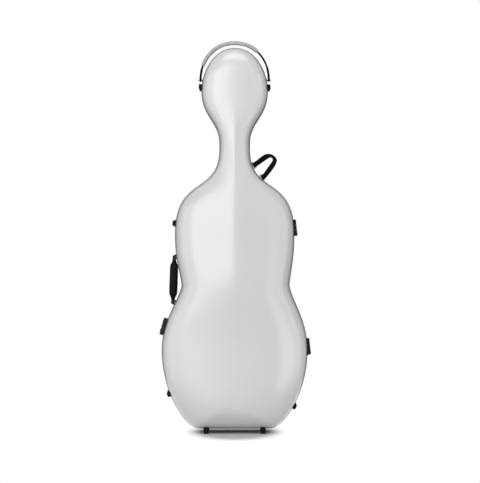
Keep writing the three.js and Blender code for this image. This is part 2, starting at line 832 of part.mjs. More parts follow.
function arcSolid(angles, corners) {
  return solidOf(cappedLoft(angles.map((angle) => arcRing(angle, corners))));
}

function rectangle(width, depth) {
  const [x, y] = [width / 2, depth / 2];
  return [[-x, -y], [x, -y], [x, y], [-x, y]];
}

function evenSteps(from, to, steps) {
  return Array.from({ length: steps + 1 }, (_, step) => lerp(from, to, step / steps));
}

function headHandle() {
  const turns = evenSteps(0, 180, arcSteps);
  const eyeRadius = headStrapThickness + handlePinRadius / 2;
  const eyeFrame = (way) => new THREE.Matrix4().makeRotationY(Math.PI / 2)
    .setPosition(way * headHandleHalf, handleDepth, headHandleHeight);
  const eye = pin(eyeRadius, headStrapThickness);
  const bore = pin(handlePinRadius + gap, 2 * headStrapThickness);
  const strap = [-1, 1].reduce(
    (solid, way) => solid.add(moved(eye, eyeFrame(way))).subtract(moved(bore, eyeFrame(way))),
    arcSolid(turns, rectangle(headStrapThickness, headStrapWidth)),
  );
  place('head_handle_strap', geometryOf(strap), webbing);

  const sleeveTurns = evenSteps(sleeveFromAngle, sleeveToAngle, Math.round(arcSteps / 2));
  const sleeveSection = padSection(sleeveThickness, sleeveWidth, sleeveThickness / 4, 0)
    .map(({ x, y }) => [x, y]);
  const channelSection = rectangle(headStrapThickness + 2 * gap, headStrapWidth + 2 * gap);
  const sleeve = arcSolid(sleeveTurns, sleeveSection).subtract(arcSolid(turns, channelSection));
  place('head_handle_sleeve', geometryOf(sleeve), greySleeve);

  const proud = headHandleOut + 2 * headStrapThickness;
  const root = headHandleOut + headStrapThickness + shellInset + 2 * overrun;
  sides.forEach(([end, way]) => {
    const frame = wallFrame(way, headHandleHeight, 0, handleDepth);
    const [halfWidth, halfLength] = [sleeveWidth / 2, chapeLength / 2];
    const chape = block(-root, chapeProud, -halfWidth, halfWidth, -halfLength, halfLength);
    const room = block(-root, proud, -sleeveWidth, sleeveWidth, -chapeLength, chapeLength);
    const post = moved(pin(handlePinRadius, 2 * root), frame.clone().invert().multiply(eyeFrame(way)));
    const solid = onWall(chape.add(post.intersect(room)), frame);
    place(`head_handle_anchor_${end}`, geometryOf(solid), blackMetal, groupAt(frame));
  });
}
headHandle();

// Webbing loop where the neck meets the shoulder: it swings on two pins
function neckLoop() {
  const { frame, reach } = frameBetween(
    1,
    wallFrame(1, neckHeight - loopUpperDrop, loopPinOut, handleDepth),
    wallFrame(1, neckHeight - loopLowerDrop, loopPinOut, handleDepth),
  );
  const group = groupAt(frame);
  const web = loopWidth / 2;
  const cornersAt = (shares, half) => shares.map(([out, along]) => [out * loopReach, along * half]);
  const flat = new THREE.Matrix4().makeRotationX(Math.PI / 2);
  const eyeRadius = handlePinRadius + loopThickness / 2;
  const eye = pin(eyeRadius, loopWidth);
  const bore = pin(handlePinRadius + gap, loopWidth + overrun);
  const opening = bar(cornersAt(loopInnerShares, reach - web), loopThickness + overrun);
  const sheet = bar(cornersAt(loopOuterShares, reach + web), loopThickness).subtract(opening);
  const loop = [-1, 1].reduce((solid, way) => solid.add(shifted(eye, 0, 0, way * reach))
    .subtract(shifted(bore, 0, 0, way * reach)), moved(sheet, flat));
  place('neck_loop', geometryOf(loop), webbing, group);

  const foot = -loopPinOut - shellInset - 3 * overrun;
  const earInside = web + runningGap;
  const earSides = [-loopBlockLength / 2, loopBlockLength / 2];
  const plate = block(foot, -eyeRadius - runningGap, ...earSides, -earInside - loopEar, earInside + loopEar);
  const ear = block(foot, eyeRadius, ...earSides, earInside, earInside + loopEar);
  const anchor = plate.add(ear).add(ear.mirror([0, 0, 1])).add(pin(handlePinRadius, 2 * earInside + loopEar));
  [['upper', 1], ['lower', -1]].forEach(([end, way]) => {
    const solid = onWall(shifted(anchor, 0, 0, way * reach), frame);
    place(`neck_loop_anchor_${end}`, geometryOf(solid), steel, group);
  });
}
neckLoop();

// Feet: tapered rubber studs cut to the curve of the shells above them
function foot(name, x, depth) {
  const stud = new THREE.LatheGeometry([
    new THREE.Vector2(0, -footHeight), new THREE.Vector2(footSoleRadius, -footHeight),
    new THREE.Vector2(footTopRadius, 0), new THREE.Vector2(footTopRadius, footRoot),
    new THREE.Vector2(0, footRoot),
  ], 14);
  stud.rotateX(Math.PI / 2);
  stud.translate(x, depth, 0);
  place(name, geometryOf(solidOf(stud).subtract(bodyCutter)), rubber);
}
sides.forEach(([end, way]) => {
  foot(`foot_back_${end}`, way * (bottomFlatWidth / 2 - footInset), backFootDepth);
  foot(`foot_lid_${end}`, way * (bottomFlatWidth / 2 - footInset), -lidFootDepth);
});

// The room inside a lined shell, from its mouth to the lining
function cavitySolid(shell) {
  return solidOf(loft([
    flatRing(shell, cavityInset, rimDepth + gap, 0), flatRing(shell, cavityInset, rimDepth + gap),
    ...domeRings(shell, cavityInset),
  ]));
}
const backCavity = cavitySolid(back);
const lidCavity = cavitySolid(lid);

// A block with rounded corners seen from the front, between two depths
function padBlock(x0, x1, z0, z1, from, to) {
  const corner = padRound / 2;
  const cut = corner * roundShare;
  const shape = [
    [x0 + corner, z0], [x1 - corner, z0], [x1 - cut, z0 + cut], [x1, z0 + corner],
    [x1, z1 - corner], [x1 - cut, z1 - cut], [x1 - corner, z1],
    [x0 + corner, z1], [x0 + cut, z1 - cut], [x0, z1 - corner], [x0, z0 + corner], [x0 + cut, z0 + cut],
  ];
  const upright = new THREE.Matrix4().makeRotationX(Math.PI / 2).setPosition(0, (from + to) / 2, 0);
  return moved(bar(shape, to - from), upright);
}

// Supports in the back shell, each cut from the room inside so that it lies along the lining
const endPin = shifted(pin(endPinRadius, 3 * endBlockHeight, [0, 0], 14), 0, endPinDepth, endBlockHeight);
const endBlock = padBlock(-endBlockHalf, endBlockHalf, -padRound, endBlockHeight, padTop, backLowerDepth);
place('end_block', geometryOf(endBlock.intersect(backCavity).subtract(endPin)), foam);

const shoulderPadFoot = upperBoutHeight + shoulderPadLift;
sides.forEach(([end, way]) => {
  const from = (inner) => (way > 0 ? [inner, lowerBoutWidth / 2] : [-lowerBoutWidth / 2, -inner]);
  const sidePad = (name, inner, low, high) => {
    const pad = padBlock(...from(inner), low, high, padTop, backLowerDepth).intersect(backCavity);
    place(`${name}_${end}`, geometryOf(pad), foam);
  };
  sidePad('waist_pad', waistHalfLeft - waistPadReach, waistHeight - waistPadHalf, waistHeight + waistPadHalf);
  sidePad('shoulder_pad', shoulderPadIn, shoulderPadFoot, shoulderPadFoot + shoulderPadLength);
});

// Neck cradle with its slot, and the strap that closes over the slot on a pin at the left cheek
function neckSupport() {
  const cradleFoot = neckHeight - cradleDrop;
  const middle = cradleFoot + cradleLength / 2;
  const half = neckSlot / 2;
  const slot = bar([
    [-half, overrun], [half, overrun], [half, neckSlotFloor - half / 2], [half / 2, neckSlotFloor],
    [-half / 2, neckSlotFloor], [-half, neckSlotFloor - half / 2],
  ], 2 * cradleLength);
  const pivot = [-half - padRound / 4, cradleTop - strapOut];
  const post = block(
    pivot[0] - strapOut, pivot[0] + strapOut, pivot[1] - strapOut, cradleTop + overrun,
    -strapOut / 2, strapOut / 2,
  );
  const cradleHead = cradleFoot + cradleLength;
  const cheeks = block(-neckWidth, neckWidth, cradleTop, backNeckDepth, cradleFoot, cradleHead);
  const cradle = [-1, 1].reduce(
    (solid, way) => solid.add(shifted(post, 0, 0, middle + way * (strapWidth / 2 + strapOut))),
    cheeks.intersect(backCavity).subtract(shifted(slot, 0, 0, middle)),
  ).add(shifted(pin(strapPinRadius, strapWidth + 2 * strapOut, pivot, 8), 0, 0, middle));
  place('neck_cradle', geometryOf(cradle), foam);

  const blade = block(
    pivot[0], half + padRound / 4, pivot[1] - strapThickness / 2, pivot[1] + strapThickness / 2,
    -strapWidth / 2, strapWidth / 2,
  );
  const strap = blade.add(pin(strapOut - gap, strapWidth, pivot, 10))
    .subtract(pin(strapPinRadius + gap, strapWidth + overrun, pivot, 8));
  place('neck_strap', geometryOf(shifted(strap, 0, 0, middle)), webbing);
}
neckSupport();

// In the lid: a pocket for small things, a rest for the bows with its two turn clips, and a tip pocket
const pocket = padBlock(-pocketHalf, pocketHalf, pocketFoot, pocketHead, -lidLowerDepth, -pocketFront);
place('accessory_pocket', geometryOf(pocket.intersect(lidCavity)), foam);
const tipFoot = headHeight - tipDrop;
const tips = padBlock(-tipHalf, tipHalf, tipFoot, tipFoot + tipLength, -lidHeadDepth, -tipFront);
place('bow_tip_pocket', geometryOf(tips.intersect(lidCavity)), foam);

function bowSupport() {
  const restFoot = waistHeight - bowRestDrop;
  const middle = restFoot + bowRestLength / 2;
  const clipFrame = (way) => new THREE.Matrix4().makeRotationX(-Math.PI / 2)
    .setPosition(way * bowSpread, -bowRestTop, middle);
  const groove = pin(bowGroove / 2, 2 * bowRestLength);
  const bore = pin(clipPostRadius + gap, 2 * clipThickness);
  const plank = block(
    -bowRestHalf, bowRestHalf, -lidWaistDepth - ridgeRise, -bowRestTop, restFoot, restFoot + bowRestLength,
  ).intersect(lidCavity);
  const rest = [-1, 1].reduce((solid, way) => solid
    .subtract(shifted(groove, way * (bowSpread - bowGroove), -bowRestTop, middle))
    .subtract(moved(bore, clipFrame(way))), plank);
  place('bow_rest', geometryOf(rest), foam);

  const head = padSection(clipLength, clipWidth, clipWidth / 3, 0).map(({ x, y }) => [x, y]);
  const knob = shifted(bar(head, clipThickness), 0, 0, clipThickness / 2 + gap)
    .add(pin(clipPostRadius, 2 * (clipThickness - gap)));
  sides.forEach(([end, way]) => {
    place(`bow_clip_${end}`, geometryOf(knob), blackPlastic, groupAt(clipFrame(way)));
  });
}
bowSupport();

// Loops on the back for carrying straps
function strapLoop(name, height) {
  const depth = profileAt(backStations, height);
  const top = depth + strapLoopRise;
  const half = strapLoopWidth / 2;
  const inside = strapLoopHalf - strapLoopBar;
  const hole = block(
    -inside, inside, depth + overrun, top - strapLoopBar, height - 2 * half, height + 2 * half,
  );
  const loop = block(-strapLoopHalf, strapLoopHalf, depth - overrun, top, height - half, height + half)
    .subtract(hole);
  place(name, geometryOf(loop.subtract(bodyCutter)), blackPlastic);
}
strapLoop('strap_loop_lower', strapLoopLowerHeight);
strapLoop('strap_loop_upper', upperBoutHeight - strapLoopUpperDrop);

// The origin is the middle of the case's footprint on the floor
caseBody.position.z = footHeight;
const cello = new THREE.Group();
cello.add(caseBody);
cello.updateMatrixWorld(true);
const footprint = new THREE.Box3().setFromObject(cello, true).getCenter(new THREE.Vector3());
caseBody.position.x -= footprint.x;
caseBody.position.y -= footprint.y;

export default cello;
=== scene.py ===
"""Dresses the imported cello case: moulded shells, rims, plush lining, fittings, handles and the stage."""

import json
import math
from itertools import accumulate

import bmesh
import bpy
from bpy.props import FloatProperty, FloatVectorProperty, IntProperty, PointerProperty
from mathutils import Matrix, Vector


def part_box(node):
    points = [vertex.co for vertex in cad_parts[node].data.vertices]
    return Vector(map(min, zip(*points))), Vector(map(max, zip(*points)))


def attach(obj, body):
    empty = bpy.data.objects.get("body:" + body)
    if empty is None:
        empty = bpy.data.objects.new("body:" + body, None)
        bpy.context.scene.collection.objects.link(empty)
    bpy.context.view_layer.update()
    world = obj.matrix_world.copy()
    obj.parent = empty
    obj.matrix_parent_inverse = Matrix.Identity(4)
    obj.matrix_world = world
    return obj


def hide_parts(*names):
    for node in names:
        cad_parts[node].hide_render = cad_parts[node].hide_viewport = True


bl_info = {
    "name": "Cello case dressing",
    "version": (1, 0, 0),
    "blender": (4, 5, 0),
    "location": "View3D > Sidebar > Cello case",
    "description": "Models and finishes the visible surfaces of a cello hard case",
    "category": "Object",
}

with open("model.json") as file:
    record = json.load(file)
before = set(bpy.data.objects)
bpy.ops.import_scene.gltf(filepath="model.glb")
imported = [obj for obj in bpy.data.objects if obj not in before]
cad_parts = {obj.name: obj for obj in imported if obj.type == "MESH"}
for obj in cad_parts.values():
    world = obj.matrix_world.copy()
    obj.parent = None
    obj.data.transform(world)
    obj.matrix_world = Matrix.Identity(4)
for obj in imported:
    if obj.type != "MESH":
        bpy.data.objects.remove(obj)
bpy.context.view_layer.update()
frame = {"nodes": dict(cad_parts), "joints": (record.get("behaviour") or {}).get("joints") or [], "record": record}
BODY_OF = {node: body for body, nodes in frame["record"]["behaviour"]["bodies"].items() for node in nodes}
JOINT = {joint["name"]: joint for joint in frame["joints"]}
SLOT_OF = {part["node"]: part["material_slot"] for part in frame["record"]["subparts"]}
MM = 0.001
DEPTH, UP = Vector((0, 1, 0)), Vector((0, 0, 1))
FOAM_PIECES = (
    "end_block", "waist_pad_left", "waist_pad_right", "shoulder_pad_left", "shoulder_pad_right",
    "neck_cradle", "accessory_pocket", "bow_rest", "bow_tip_pocket",
)
# Supports that cloth swells: its pressure, the furthest that a point may move, and the frames that it runs
SWOLLEN_PADS = FOAM_PIECES[:5]
PAD_PRESSURE, PAD_CAP, SWELL_FRAMES = 4.0, 4 * MM, 20
# The shells' inner faces need fewer rings. The ridge's blunt top and its reach are shares of the half width
INNER_RINGS, RIDGE_BLUNT, RIDGE_REACH = 12, 0.06, 0.6
# Handles: rounds of cut corners, the thread's thickness, the seam's depth and spread in radians, how square the
# arch is, and where on it the sleeve starts and ends in degrees
CORNER_CUTS, THREAD, SEAM_DEPTH, SEAM_SPREAD = 3, 0.9 * MM, 1.1 * MM, 0.1
ARCH_FULLNESS, SLEEVE_FROM, SLEEVE_TO = 2.1, 50, 158
# Figures on a dial, their height, relief and distance from its axis
FIGURES, FIGURE_SIZE, FIGURE_RELIEF, FIGURE_RADIUS = 10, 4.2 * MM, 0.05 * MM, 8.62 * MM
# Distance of the panels from the case, in metres
PANEL_DISTANCE = 4


def linear(code):
    """An sRGB hex code as a linear colour with full alpha."""
    channels = [int(code[i:i + 2], 16) / 255 for i in (1, 3, 5)]
    return tuple(c / 12.92 if c <= 0.04045 else ((c + 0.055) / 1.055) ** 2.4 for c in channels) + (1.0,)


def length(name, description, millimetres):
    """A length that a user may change."""
    return FloatProperty(name=name, description=description, default=millimetres * MM, unit="LENGTH", precision=4)


def colour(name, description, code):
    """A colour that a user may change."""
    return FloatVectorProperty(
        name=name, description=description, default=linear(code), size=4, subtype="COLOR", min=0, max=1)


def radiance(name, source, value):
    """A radiance that a user may change."""
    return FloatProperty(name=name, description=f"Radiance of the {source}", default=value, min=0)


# Settings

class CaseOutline(bpy.types.PropertyGroup):
    """Outline of the case from the front: each level stands on the one below, and widths are over the rims."""

    bottom_flat: length("Bottom flat", "Width of the straight lower edge", 246)
    lower_bout: length("Lower bout", "Width of the lower bout", 514)
    lower_bout_rise: length("Lower bout rise", "Height of the lower bout over the lower edge", 275)
    waist_right: length("Waist, right", "Half width of the waist on the hinges' side", 193)
    waist_left: length("Waist, left", "Half width of the waist on the handle's side", 187)
    waist_rise: length("Waist rise", "Height of the waist over the lower bout", 229)
    upper_bout: length("Upper bout", "Width of the upper bout", 421)
    upper_bout_rise: length("Upper bout rise", "Height of the upper bout over the waist", 181)
    neck: length("Neck", "Width of the neck", 108)
    neck_rise: length("Neck rise", "Height of the neck over the upper bout", 297)
    neck_length: length("Neck length", "Length of the straight part of the neck", 21)
    head: length("Head", "Width of the head", 234)
    head_rise: length("Head rise", "Height of the head's widest place over the neck", 182)
    head_top_rise: length("Head top rise", "Height of the top over the head's widest place", 155)


class CaseSection(bpy.types.PropertyGroup):
    """Depths of the two shells, their walls and the lining."""

    back_depths: FloatVectorProperty(
        name="Back depths", description="Depth of the back at the lower bout, upper bout, neck and head",
        default=(0.152, 0.134, 0.1, 0.096), size=4, unit="LENGTH", precision=4)
    lid_depths: FloatVectorProperty(
        name="Lid depths", description="Depth of the lid at the lower bout, waist, upper bout, neck and head",
        default=(0.112, 0.124, 0.112, 0.084, 0.084), size=5, unit="LENGTH", precision=4)
    ridge: length("Ridge", "Rise of the soft ridge along the middle of the lid", 9)
    spine_margin: length("Spine margin", "Distance of the spine's ends from the case's ends", 110)
    shell_wall: length("Shell wall", "Thickness of the moulded shells", 3.5)
    shell_lip: length("Shell lip", "Depth at which a shell starts to curve in", 17)
    rim_wall: length("Rim wall", "Thickness of the rim's two walls", 2.3)
    rim_depth: length("Rim depth", "Depth of a rim from the seam", 14)
    rim_web: length("Rim web", "Thickness of the rim's web at the seam", 3.2)
    seal_width: length("Seal width", "Width of the rubber seal", 4.2)
    seal_height: length("Seal height", "Height of the rubber seal", 2.4)
    lining: length("Lining", "Thickness of the plush lining with its foam", 5)
    clearance: length("Clearance", "Clearance between pieces that touch", 0.3)
    rings: IntProperty(name="Rings", description="Rings over each shell's dome", default=32, min=8, max=60)


class CaseColours(bpy.types.PropertyGroup):
    """Colours of the finishes."""

    shell: colour("Shell", "Gel coat of the two shells", "#DEDEDE")
    rim: colour("Rim", "Anodised rims", "#5E6165")
    rubber: colour("Rubber", "Seal and feet", "#0C0C0D")
    plush: colour("Plush", "Lining and pads", "#2D2F38")
    coated_steel: colour("Coated steel", "Latches, hinges, lock and brackets", "#0D0D0E")
    nickel: colour("Nickel", "Dials, rivets and rings", "#A9ABAE")
    plastic: colour("Plastic", "Slide, clips and strap loops", "#0C0C0D")
    leather: colour("Leather", "Side handle", "#0E0D0D")
    webbing: colour("Webbing", "Straps", "#0D0D0E")
    sleeve: colour("Sleeve", "Sleeve of the head handle", "#D0D1D3")
    thread: colour("Thread", "Stitches in the black pieces", "#3A3B3D")
    grey_thread: colour("Grey thread", "Stitches in the grey sleeve", "#D2D3D4")
    figures: colour("Figures", "Figures on the dials", "#1B1B1D")


class CaseHandles(bpy.types.PropertyGroup):
    """Sizes of the handles and straps."""

    grip_length: length("Grip length", "Length of the side handle's pad", 118)
    grip_width: length("Grip width", "Width of the side handle's pad", 29)
    grip_thickness: length("Grip thickness", "Thickness of the side handle's pad", 26)
    grip_shoulder: length("Grip shoulder", "Length of the pad's slanting shoulders", 9)
    grip_neck: length("Grip neck", "Width of the side handle beside its pad", 18)
    grip_tip: length("Grip tip", "Width of the side handle at its brackets", 10)
    pin_radius: length("Pin radius", "Radius of the pins that the handles turn on", 2.5)
    arch_half: length("Arch half width", "Half width of the head handle's arch", 121)
    arch_rise: length("Arch rise", "Rise of the head handle's arch over its pins", 132)
    strap_width: length("Strap width", "Width of the head handle's strap", 20)
    strap_thickness: length("Strap thickness", "Thickness of the head handle's strap", 3.4)
    sleeve_width: length("Sleeve width", "Width of the head handle's sleeve", 26)
    sleeve_thickness: length("Sleeve thickness", "Thickness of the head handle's sleeve", 14)
    loop_width: length("Loop width", "Width of the neck loop's webbing at its pins", 18)
    loop_reach: length("Loop reach", "Reach of the neck loop from its pins", 80)
    loop_root: length("Loop root", "Half of the distance between the neck loop's pins", 26.2)
    stitch_pitch: length("Stitch pitch", "Distance between stitches", 5)
    stitch_length: length("Stitch length", "Length of one stitch", 3.4)


class CaseStage(bpy.types.PropertyGroup):
    """Camera, floor and lights."""

    view_width: length("View width", "Width of the picture at the case", 1698)
    view_height: length("View height", "Height of the picture's middle over the floor", 672)
    view_offset: length("View offset", "Distance of the picture's middle from the case's middle", 17)
    distance: length("Distance", "Distance of the camera", 7000)
    floor: length("Floor", "Half of the floor's side", 800)
    side_left: radiance("Side left", "panel beside the case on the left", 1.15)
    left: radiance("Left", "large panel on the left", 2.65)
    left_low: radiance("Left low", "panel under it", 1.0)
    centre: radiance("Centre", "narrow panel by the camera", 0.2)
    right: radiance("Right", "panel on the right", 0.65)
    right_low: radiance("Right low", "panel under it", 1.9)
    side_right: radiance("Side right", "panel beside the case on the right", 1.2)
    top: radiance("Top", "panel overhead", 2.3)
    back: radiance("Back", "panel high behind the case", 5.0)
    surround: radiance("Surround", "grey surround", 0.05)
    cards: radiance("Cards", "dark cards behind and beside the case", 0.2)


class CaseSettings(bpy.types.PropertyGroup):
    """Everything that a user may change."""

    outline: PointerProperty(type=CaseOutline)
    section: PointerProperty(type=CaseSection)
    colours: PointerProperty(type=CaseColours)
    handles: PointerProperty(type=CaseHandles)
    stage: PointerProperty(type=CaseStage)


# Materials

def add_node(tree, kind, inputs=None, **settings):
    """Adds one shader node, sets its properties, and fills or links its inputs."""
    node = tree.nodes.new("ShaderNode" + kind)
    for name, value in settings.items():
        setattr(node, name, value)
    for name, value in (inputs or {}).items():
        if isinstance(value, bpy.types.NodeSocket):
            tree.links.new(value, node.inputs[name])
        else:
            node.inputs[name].default_value = value
    return node


def new_material(name):
    """A new material with its node tree and its shader."""
    material = bpy.data.materials.new(name)
    material.use_nodes = True
    return material, material.node_tree, material.node_tree.nodes["Principled BSDF"]


def finish(name, base, mottle_mm, shade, roughness, pattern, relief_mm, detail=2.0, strength=1.0, **shader):
    """A material with a slow drift of tone, a drift of roughness and a fine relief, all at real sizes.

    shade is how much darker the darkest places are, and roughness is a lowest and a highest value. The pattern is
    the size of a grain in mm, or a function that makes the relief's height from the tree and the coordinates."""
    material, tree, surface = new_material(name)
    material.diffuse_color = base
    for socket, value in shader.items():
        surface.inputs[socket.replace("_", " ")].default_value = value
    place = add_node(tree, "TexCoord").outputs["Object"]
    noise = {"Vector": place, "Scale": 1 / (mottle_mm * MM), "Detail": detail}
    drift = add_node(tree, "TexNoise", noise).outputs["Fac"]
    dark = [c * (1 - shade) for c in base[:3]] + [1]
    tone = add_node(tree, "Mix", {0: drift, 6: dark, 7: tuple(base)}, data_type="RGBA")
    polish = add_node(tree, "MapRange", {
        "Value": drift, "From Min": 0.3, "From Max": 0.7, "To Min": roughness[0], "To Max": roughness[1]})
    height = pattern(tree, place) if callable(pattern) else add_node(tree, "TexNoise", {
        "Vector": place, "Scale": 1 / (pattern * MM), "Detail": 3.0}).outputs["Fac"]
    relief = add_node(tree, "Bump", {"Height": height, "Distance": relief_mm * MM, "Strength": strength})
    for source, target in ((tone.outputs[2], "Base Color"), (polish.outputs["Result"], "Roughness"),
                           (relief.outputs["Normal"], "Normal")):
        tree.links.new(source, surface.inputs[target])
    return material


def leather_cells(tree, place):
    """Pebbled cells about 1.6 mm wide with shallow creases between them."""
    cells = add_node(
        tree, "TexVoronoi", {"Vector": place, "Scale": 1 / (1.6 * MM)}, feature="DISTANCE_TO_EDGE").outputs["Distance"]
    return add_node(tree, "MapRange", {"Value": cells, "From Max": 0.25}).outputs["Result"]


def crossed_yarns(tree, place):
    """Woven yarns about 1.5 mm apart, drawn a little coarse so that they show."""
    turned = add_node(tree, "Mapping", {"Vector": place, "Rotation": (0, math.radians(45), 0)}).outputs["Vector"]
    bands = {"Vector": turned, "Scale": 0.31 / (1.5 * MM), "Distortion": 0.4}
    yarns = [add_node(tree, "TexWave", bands, bands_direction=way).outputs["Fac"] for way in ("X", "Z")]
    return add_node(tree, "Math", {0: yarns[0], 1: yarns[1]}, operation="MULTIPLY").outputs[0]


FINISHES = {}


def make_finishes(colours):
    """Makes every material once, under the record's slot names."""
    leather = (14, 0.3, (0.45, 0.6), leather_cells, 0.12, 2.0, 0.7)
    thread = (4, 0.2, (0.7, 0.85), 0.6, 0.04)
    FINISHES.update(
        # Over a fibre moulding: a deep gloss that waves very slightly over flat white
        gloss_shell=finish(
            "polished gel coat", colours.shell, 90, 0.03, (0.28, 0.34), 40, 0.02,
            IOR=1.55, Coat_Weight=1.0, Coat_Roughness=0.2, Coat_IOR=1.55),
        # Extruded: an even grey with a soft, slightly grainy shine
        rim_metal=finish("satin anodised aluminium", colours.rim, 20, 0.12, (0.3, 0.42), 0.9, 0.01, Metallic=1.0),
        # Dull black, with a dry bloom and a fine grain
        rubber=finish("moulded rubber", colours.rubber, 8, 0.3, (0.7, 0.85), 1.0, 0.05, Specular_IOR_Level=0.2),
        # Short pile glued over foam: deep and soft, with tufts about 2 mm apart; its slow lighter and darker patches
        # are a painted sheen where the nap leans
        plush=finish(
            "plush pile", colours.plush, 35, 0.3, (0.9, 1.0), 2.0, 0.7, 4.0, Sheen_Weight=0.45, Sheen_Roughness=0.45),
        # Pressed and coated: satin black, with the coat's orange peel and slightly rubbed places
        black_metal=finish(
            "powder-coated steel", colours.coated_steel, 6, 0.25, (0.34, 0.5), 0.8, 0.03, 4.0, Specular_IOR_Level=0.2),
        # Bright, with a faint haze from handling
        steel=finish("nickel plate", colours.nickel, 5, 0.08, (0.28, 0.4), 0.7, 0.003, 3.0, Metallic=1.0),
        # Injection-moulded: black, with a fine spark-eroded grain
        black_plastic=finish(
            "moulded nylon", colours.plastic, 12, 0.15, (0.4, 0.52), 0.8, 0.03, Specular_IOR_Level=0.3),
        # Supple, with a pebbled face and a soft sheen on its crowns
        leather=finish("grained leather", colours.leather, *leather, Specular_IOR_Level=0.1),
        grey_sleeve=finish("soft sleeve leather", colours.sleeve, *leather, Specular_IOR_Level=0.1),
        # Flat and dry, with its weave showing
        webbing=finish(
            "woven polyester webbing", colours.webbing, 10, 0.25, (0.75, 0.9), crossed_yarns, 0.3,
            Specular_IOR_Level=0.1),
        # Twisted and matt, a little lighter than what it sews
        thread=finish("black polyester thread", colours.thread, *thread),
        grey_thread=finish("grey polyester thread", colours.grey_thread, *thread),
        # Filled into the dials' figures: an even near-black, slightly glossy
        figures=finish("figure enamel", colours.figures, 3, 0.05, (0.35, 0.45), 0.5, 0.01),
    )
    FINISHES["foam"] = FINISHES["plush"]


# Meshes

def add_ring(bm, points):
    """Vertices through the points, with an edge between neighbours all round. Returns the vertices in order."""
    verts = [bm.verts.new(point) for point in points]
    for pair in zip(verts, verts[1:] + verts[:1]):
        bm.edges.new(pair)
    return verts


def extrude_ring(bm, verts, points):
    """Extrudes a ring of vertices and moves the new ones to the points. Returns them in the same order."""
    edges = [bm.edges.get(pair) for pair in zip(verts, verts[1:] + verts[:1])]
    added = bmesh.ops.extrude_edge_only(bm, edges=edges)["geom"]
    added = {item for item in added if isinstance(item, bmesh.types.BMVert)}
    moved = []
    for vert, point in zip(verts, points):
        new = next(e.other_vert(vert) for e in vert.link_edges if e.other_vert(vert) in added)
        new.co = point
        moved.append(new)
    return moved


def loft(rings, closed=False, capped=False):
    """A skin through rings of points. A closed loft ends on its first ring, a capped one fills both ends."""
    bm = bmesh.new()
    first = last = add_ring(bm, rings[0])
    for points in rings[1:] + (rings[:1] if closed else []):
        last = extrude_ring(bm, last, points)
    if capped:
        bmesh.ops.contextual_create(bm, geom=first)
        bmesh.ops.contextual_create(bm, geom=last)
    return bm


def cylinder(place, way, span, radius, segments=24):
    """A cylinder centred on a place, along a direction."""
    bm = bmesh.new()
    turn = UP.rotation_difference(way).to_matrix().to_4x4()
    bmesh.ops.create_cone(bm, cap_ends=True, segments=segments, radius1=radius, radius2=radius, depth=span,
                          matrix=Matrix.Translation(place) @ turn)
    return bm


def add_object(name, data):
    """A new object in the scene."""
    obj = bpy.data.objects.new(name, data)
    bpy.context.scene.collection.objects.link(obj)
    return obj


def piece(name, bm, slot, body, replaced=(), sharp=40, look=None):
    """Turns a bmesh into a finished piece on a body: doubles merged, normals outwards, creases kept sharp."""
    bmesh.ops.remove_doubles(bm, verts=bm.verts, dist=0.01 * MM)
    bmesh.ops.dissolve_degenerate(bm, edges=bm.edges, dist=0.005 * MM)
    bmesh.ops.recalc_face_normals(bm, faces=bm.faces)
    for face in bm.faces:
        face.smooth = True
    for edge in bm.edges:
        if len(edge.link_faces) == 2 and edge.calc_face_angle(0) > math.radians(sharp):
            edge.smooth = False
    mesh = bpy.data.meshes.new(name)
    bm.to_mesh(mesh)
    bm.free()
    obj = add_object(name, mesh)
    mesh.materials.append(FINISHES[look or slot])
    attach(obj, body)
    if replaced:
        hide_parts(*replaced)
    return obj


def rounded(obj, width_mm, segments=2, angle=35):
    """Rounds a piece's edges with a bevel modifier."""
    bevel = obj.modifiers.new("Edge rounding", "BEVEL")
    bevel.width = width_mm * MM
    bevel.segments = segments
    bevel.limit_method = "ANGLE"
    bevel.angle_limit = math.radians(angle)


def apply_modifiers(obj):
    """Replaces a piece's mesh by what its modifiers make of it."""
    mesh = bpy.data.meshes.new_from_object(obj.evaluated_get(bpy.context.evaluated_depsgraph_get()))
    obj.modifiers.clear()
    obj.data = mesh


# Outline and section of the shells

# Stretches of half the outline, from the middle of the lower edge to the top: what its first and last handle take
# of its width and its rise, and its steps
STRETCHES = (
    (1 / 3, 0, 1 / 3, 0, 6), (0.426, 0, 0, 0.501, 24), (0, 0.469, 0.13, 0.235, 18), (0.325, 0.328, 0, 0.507, 15),
    (0, 0.7, 0, 0.543, 26), (0, 1 / 3, 0, 1 / 3, 3), (0, 0.421, 0, 0.485, 18), (0, 0.5, 0.603, 0, 22),
)


def smoothstep(value, low, high):
    """A smooth step from 0 at low to 1 at high."""
    share = min(max((value - low) / (high - low), 0), 1)
    return share * share * (3 - 2 * share)


def profile_at(stations, height):
    """A value at a height, in smooth steps between stations of (height, value)."""
    for (low, start), (high, end) in zip(stations, stations[1:]):
        if height <= high:
            return start + (end - start) * smoothstep(height, low, high)
    return stations[-1][1]


def case_levels(outline):
    """Heights of the lower bout, waist, upper bout, neck, neck's top, head and top over the lower edge."""
    return list(accumulate((
        outline.lower_bout_rise, outline.waist_rise, outline.upper_bout_rise, outline.neck_rise,
        outline.neck_length, outline.head_rise, outline.head_top_rise)))


def case_origin(section):
    """The middle of the case's lower edge at the seam, in the frame."""
    low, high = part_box("back_shell")
    inset = section.rim_wall + section.clearance
    return Vector(((low.x + high.x) / 2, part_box("rim_seal")[0].y, low.z - inset))


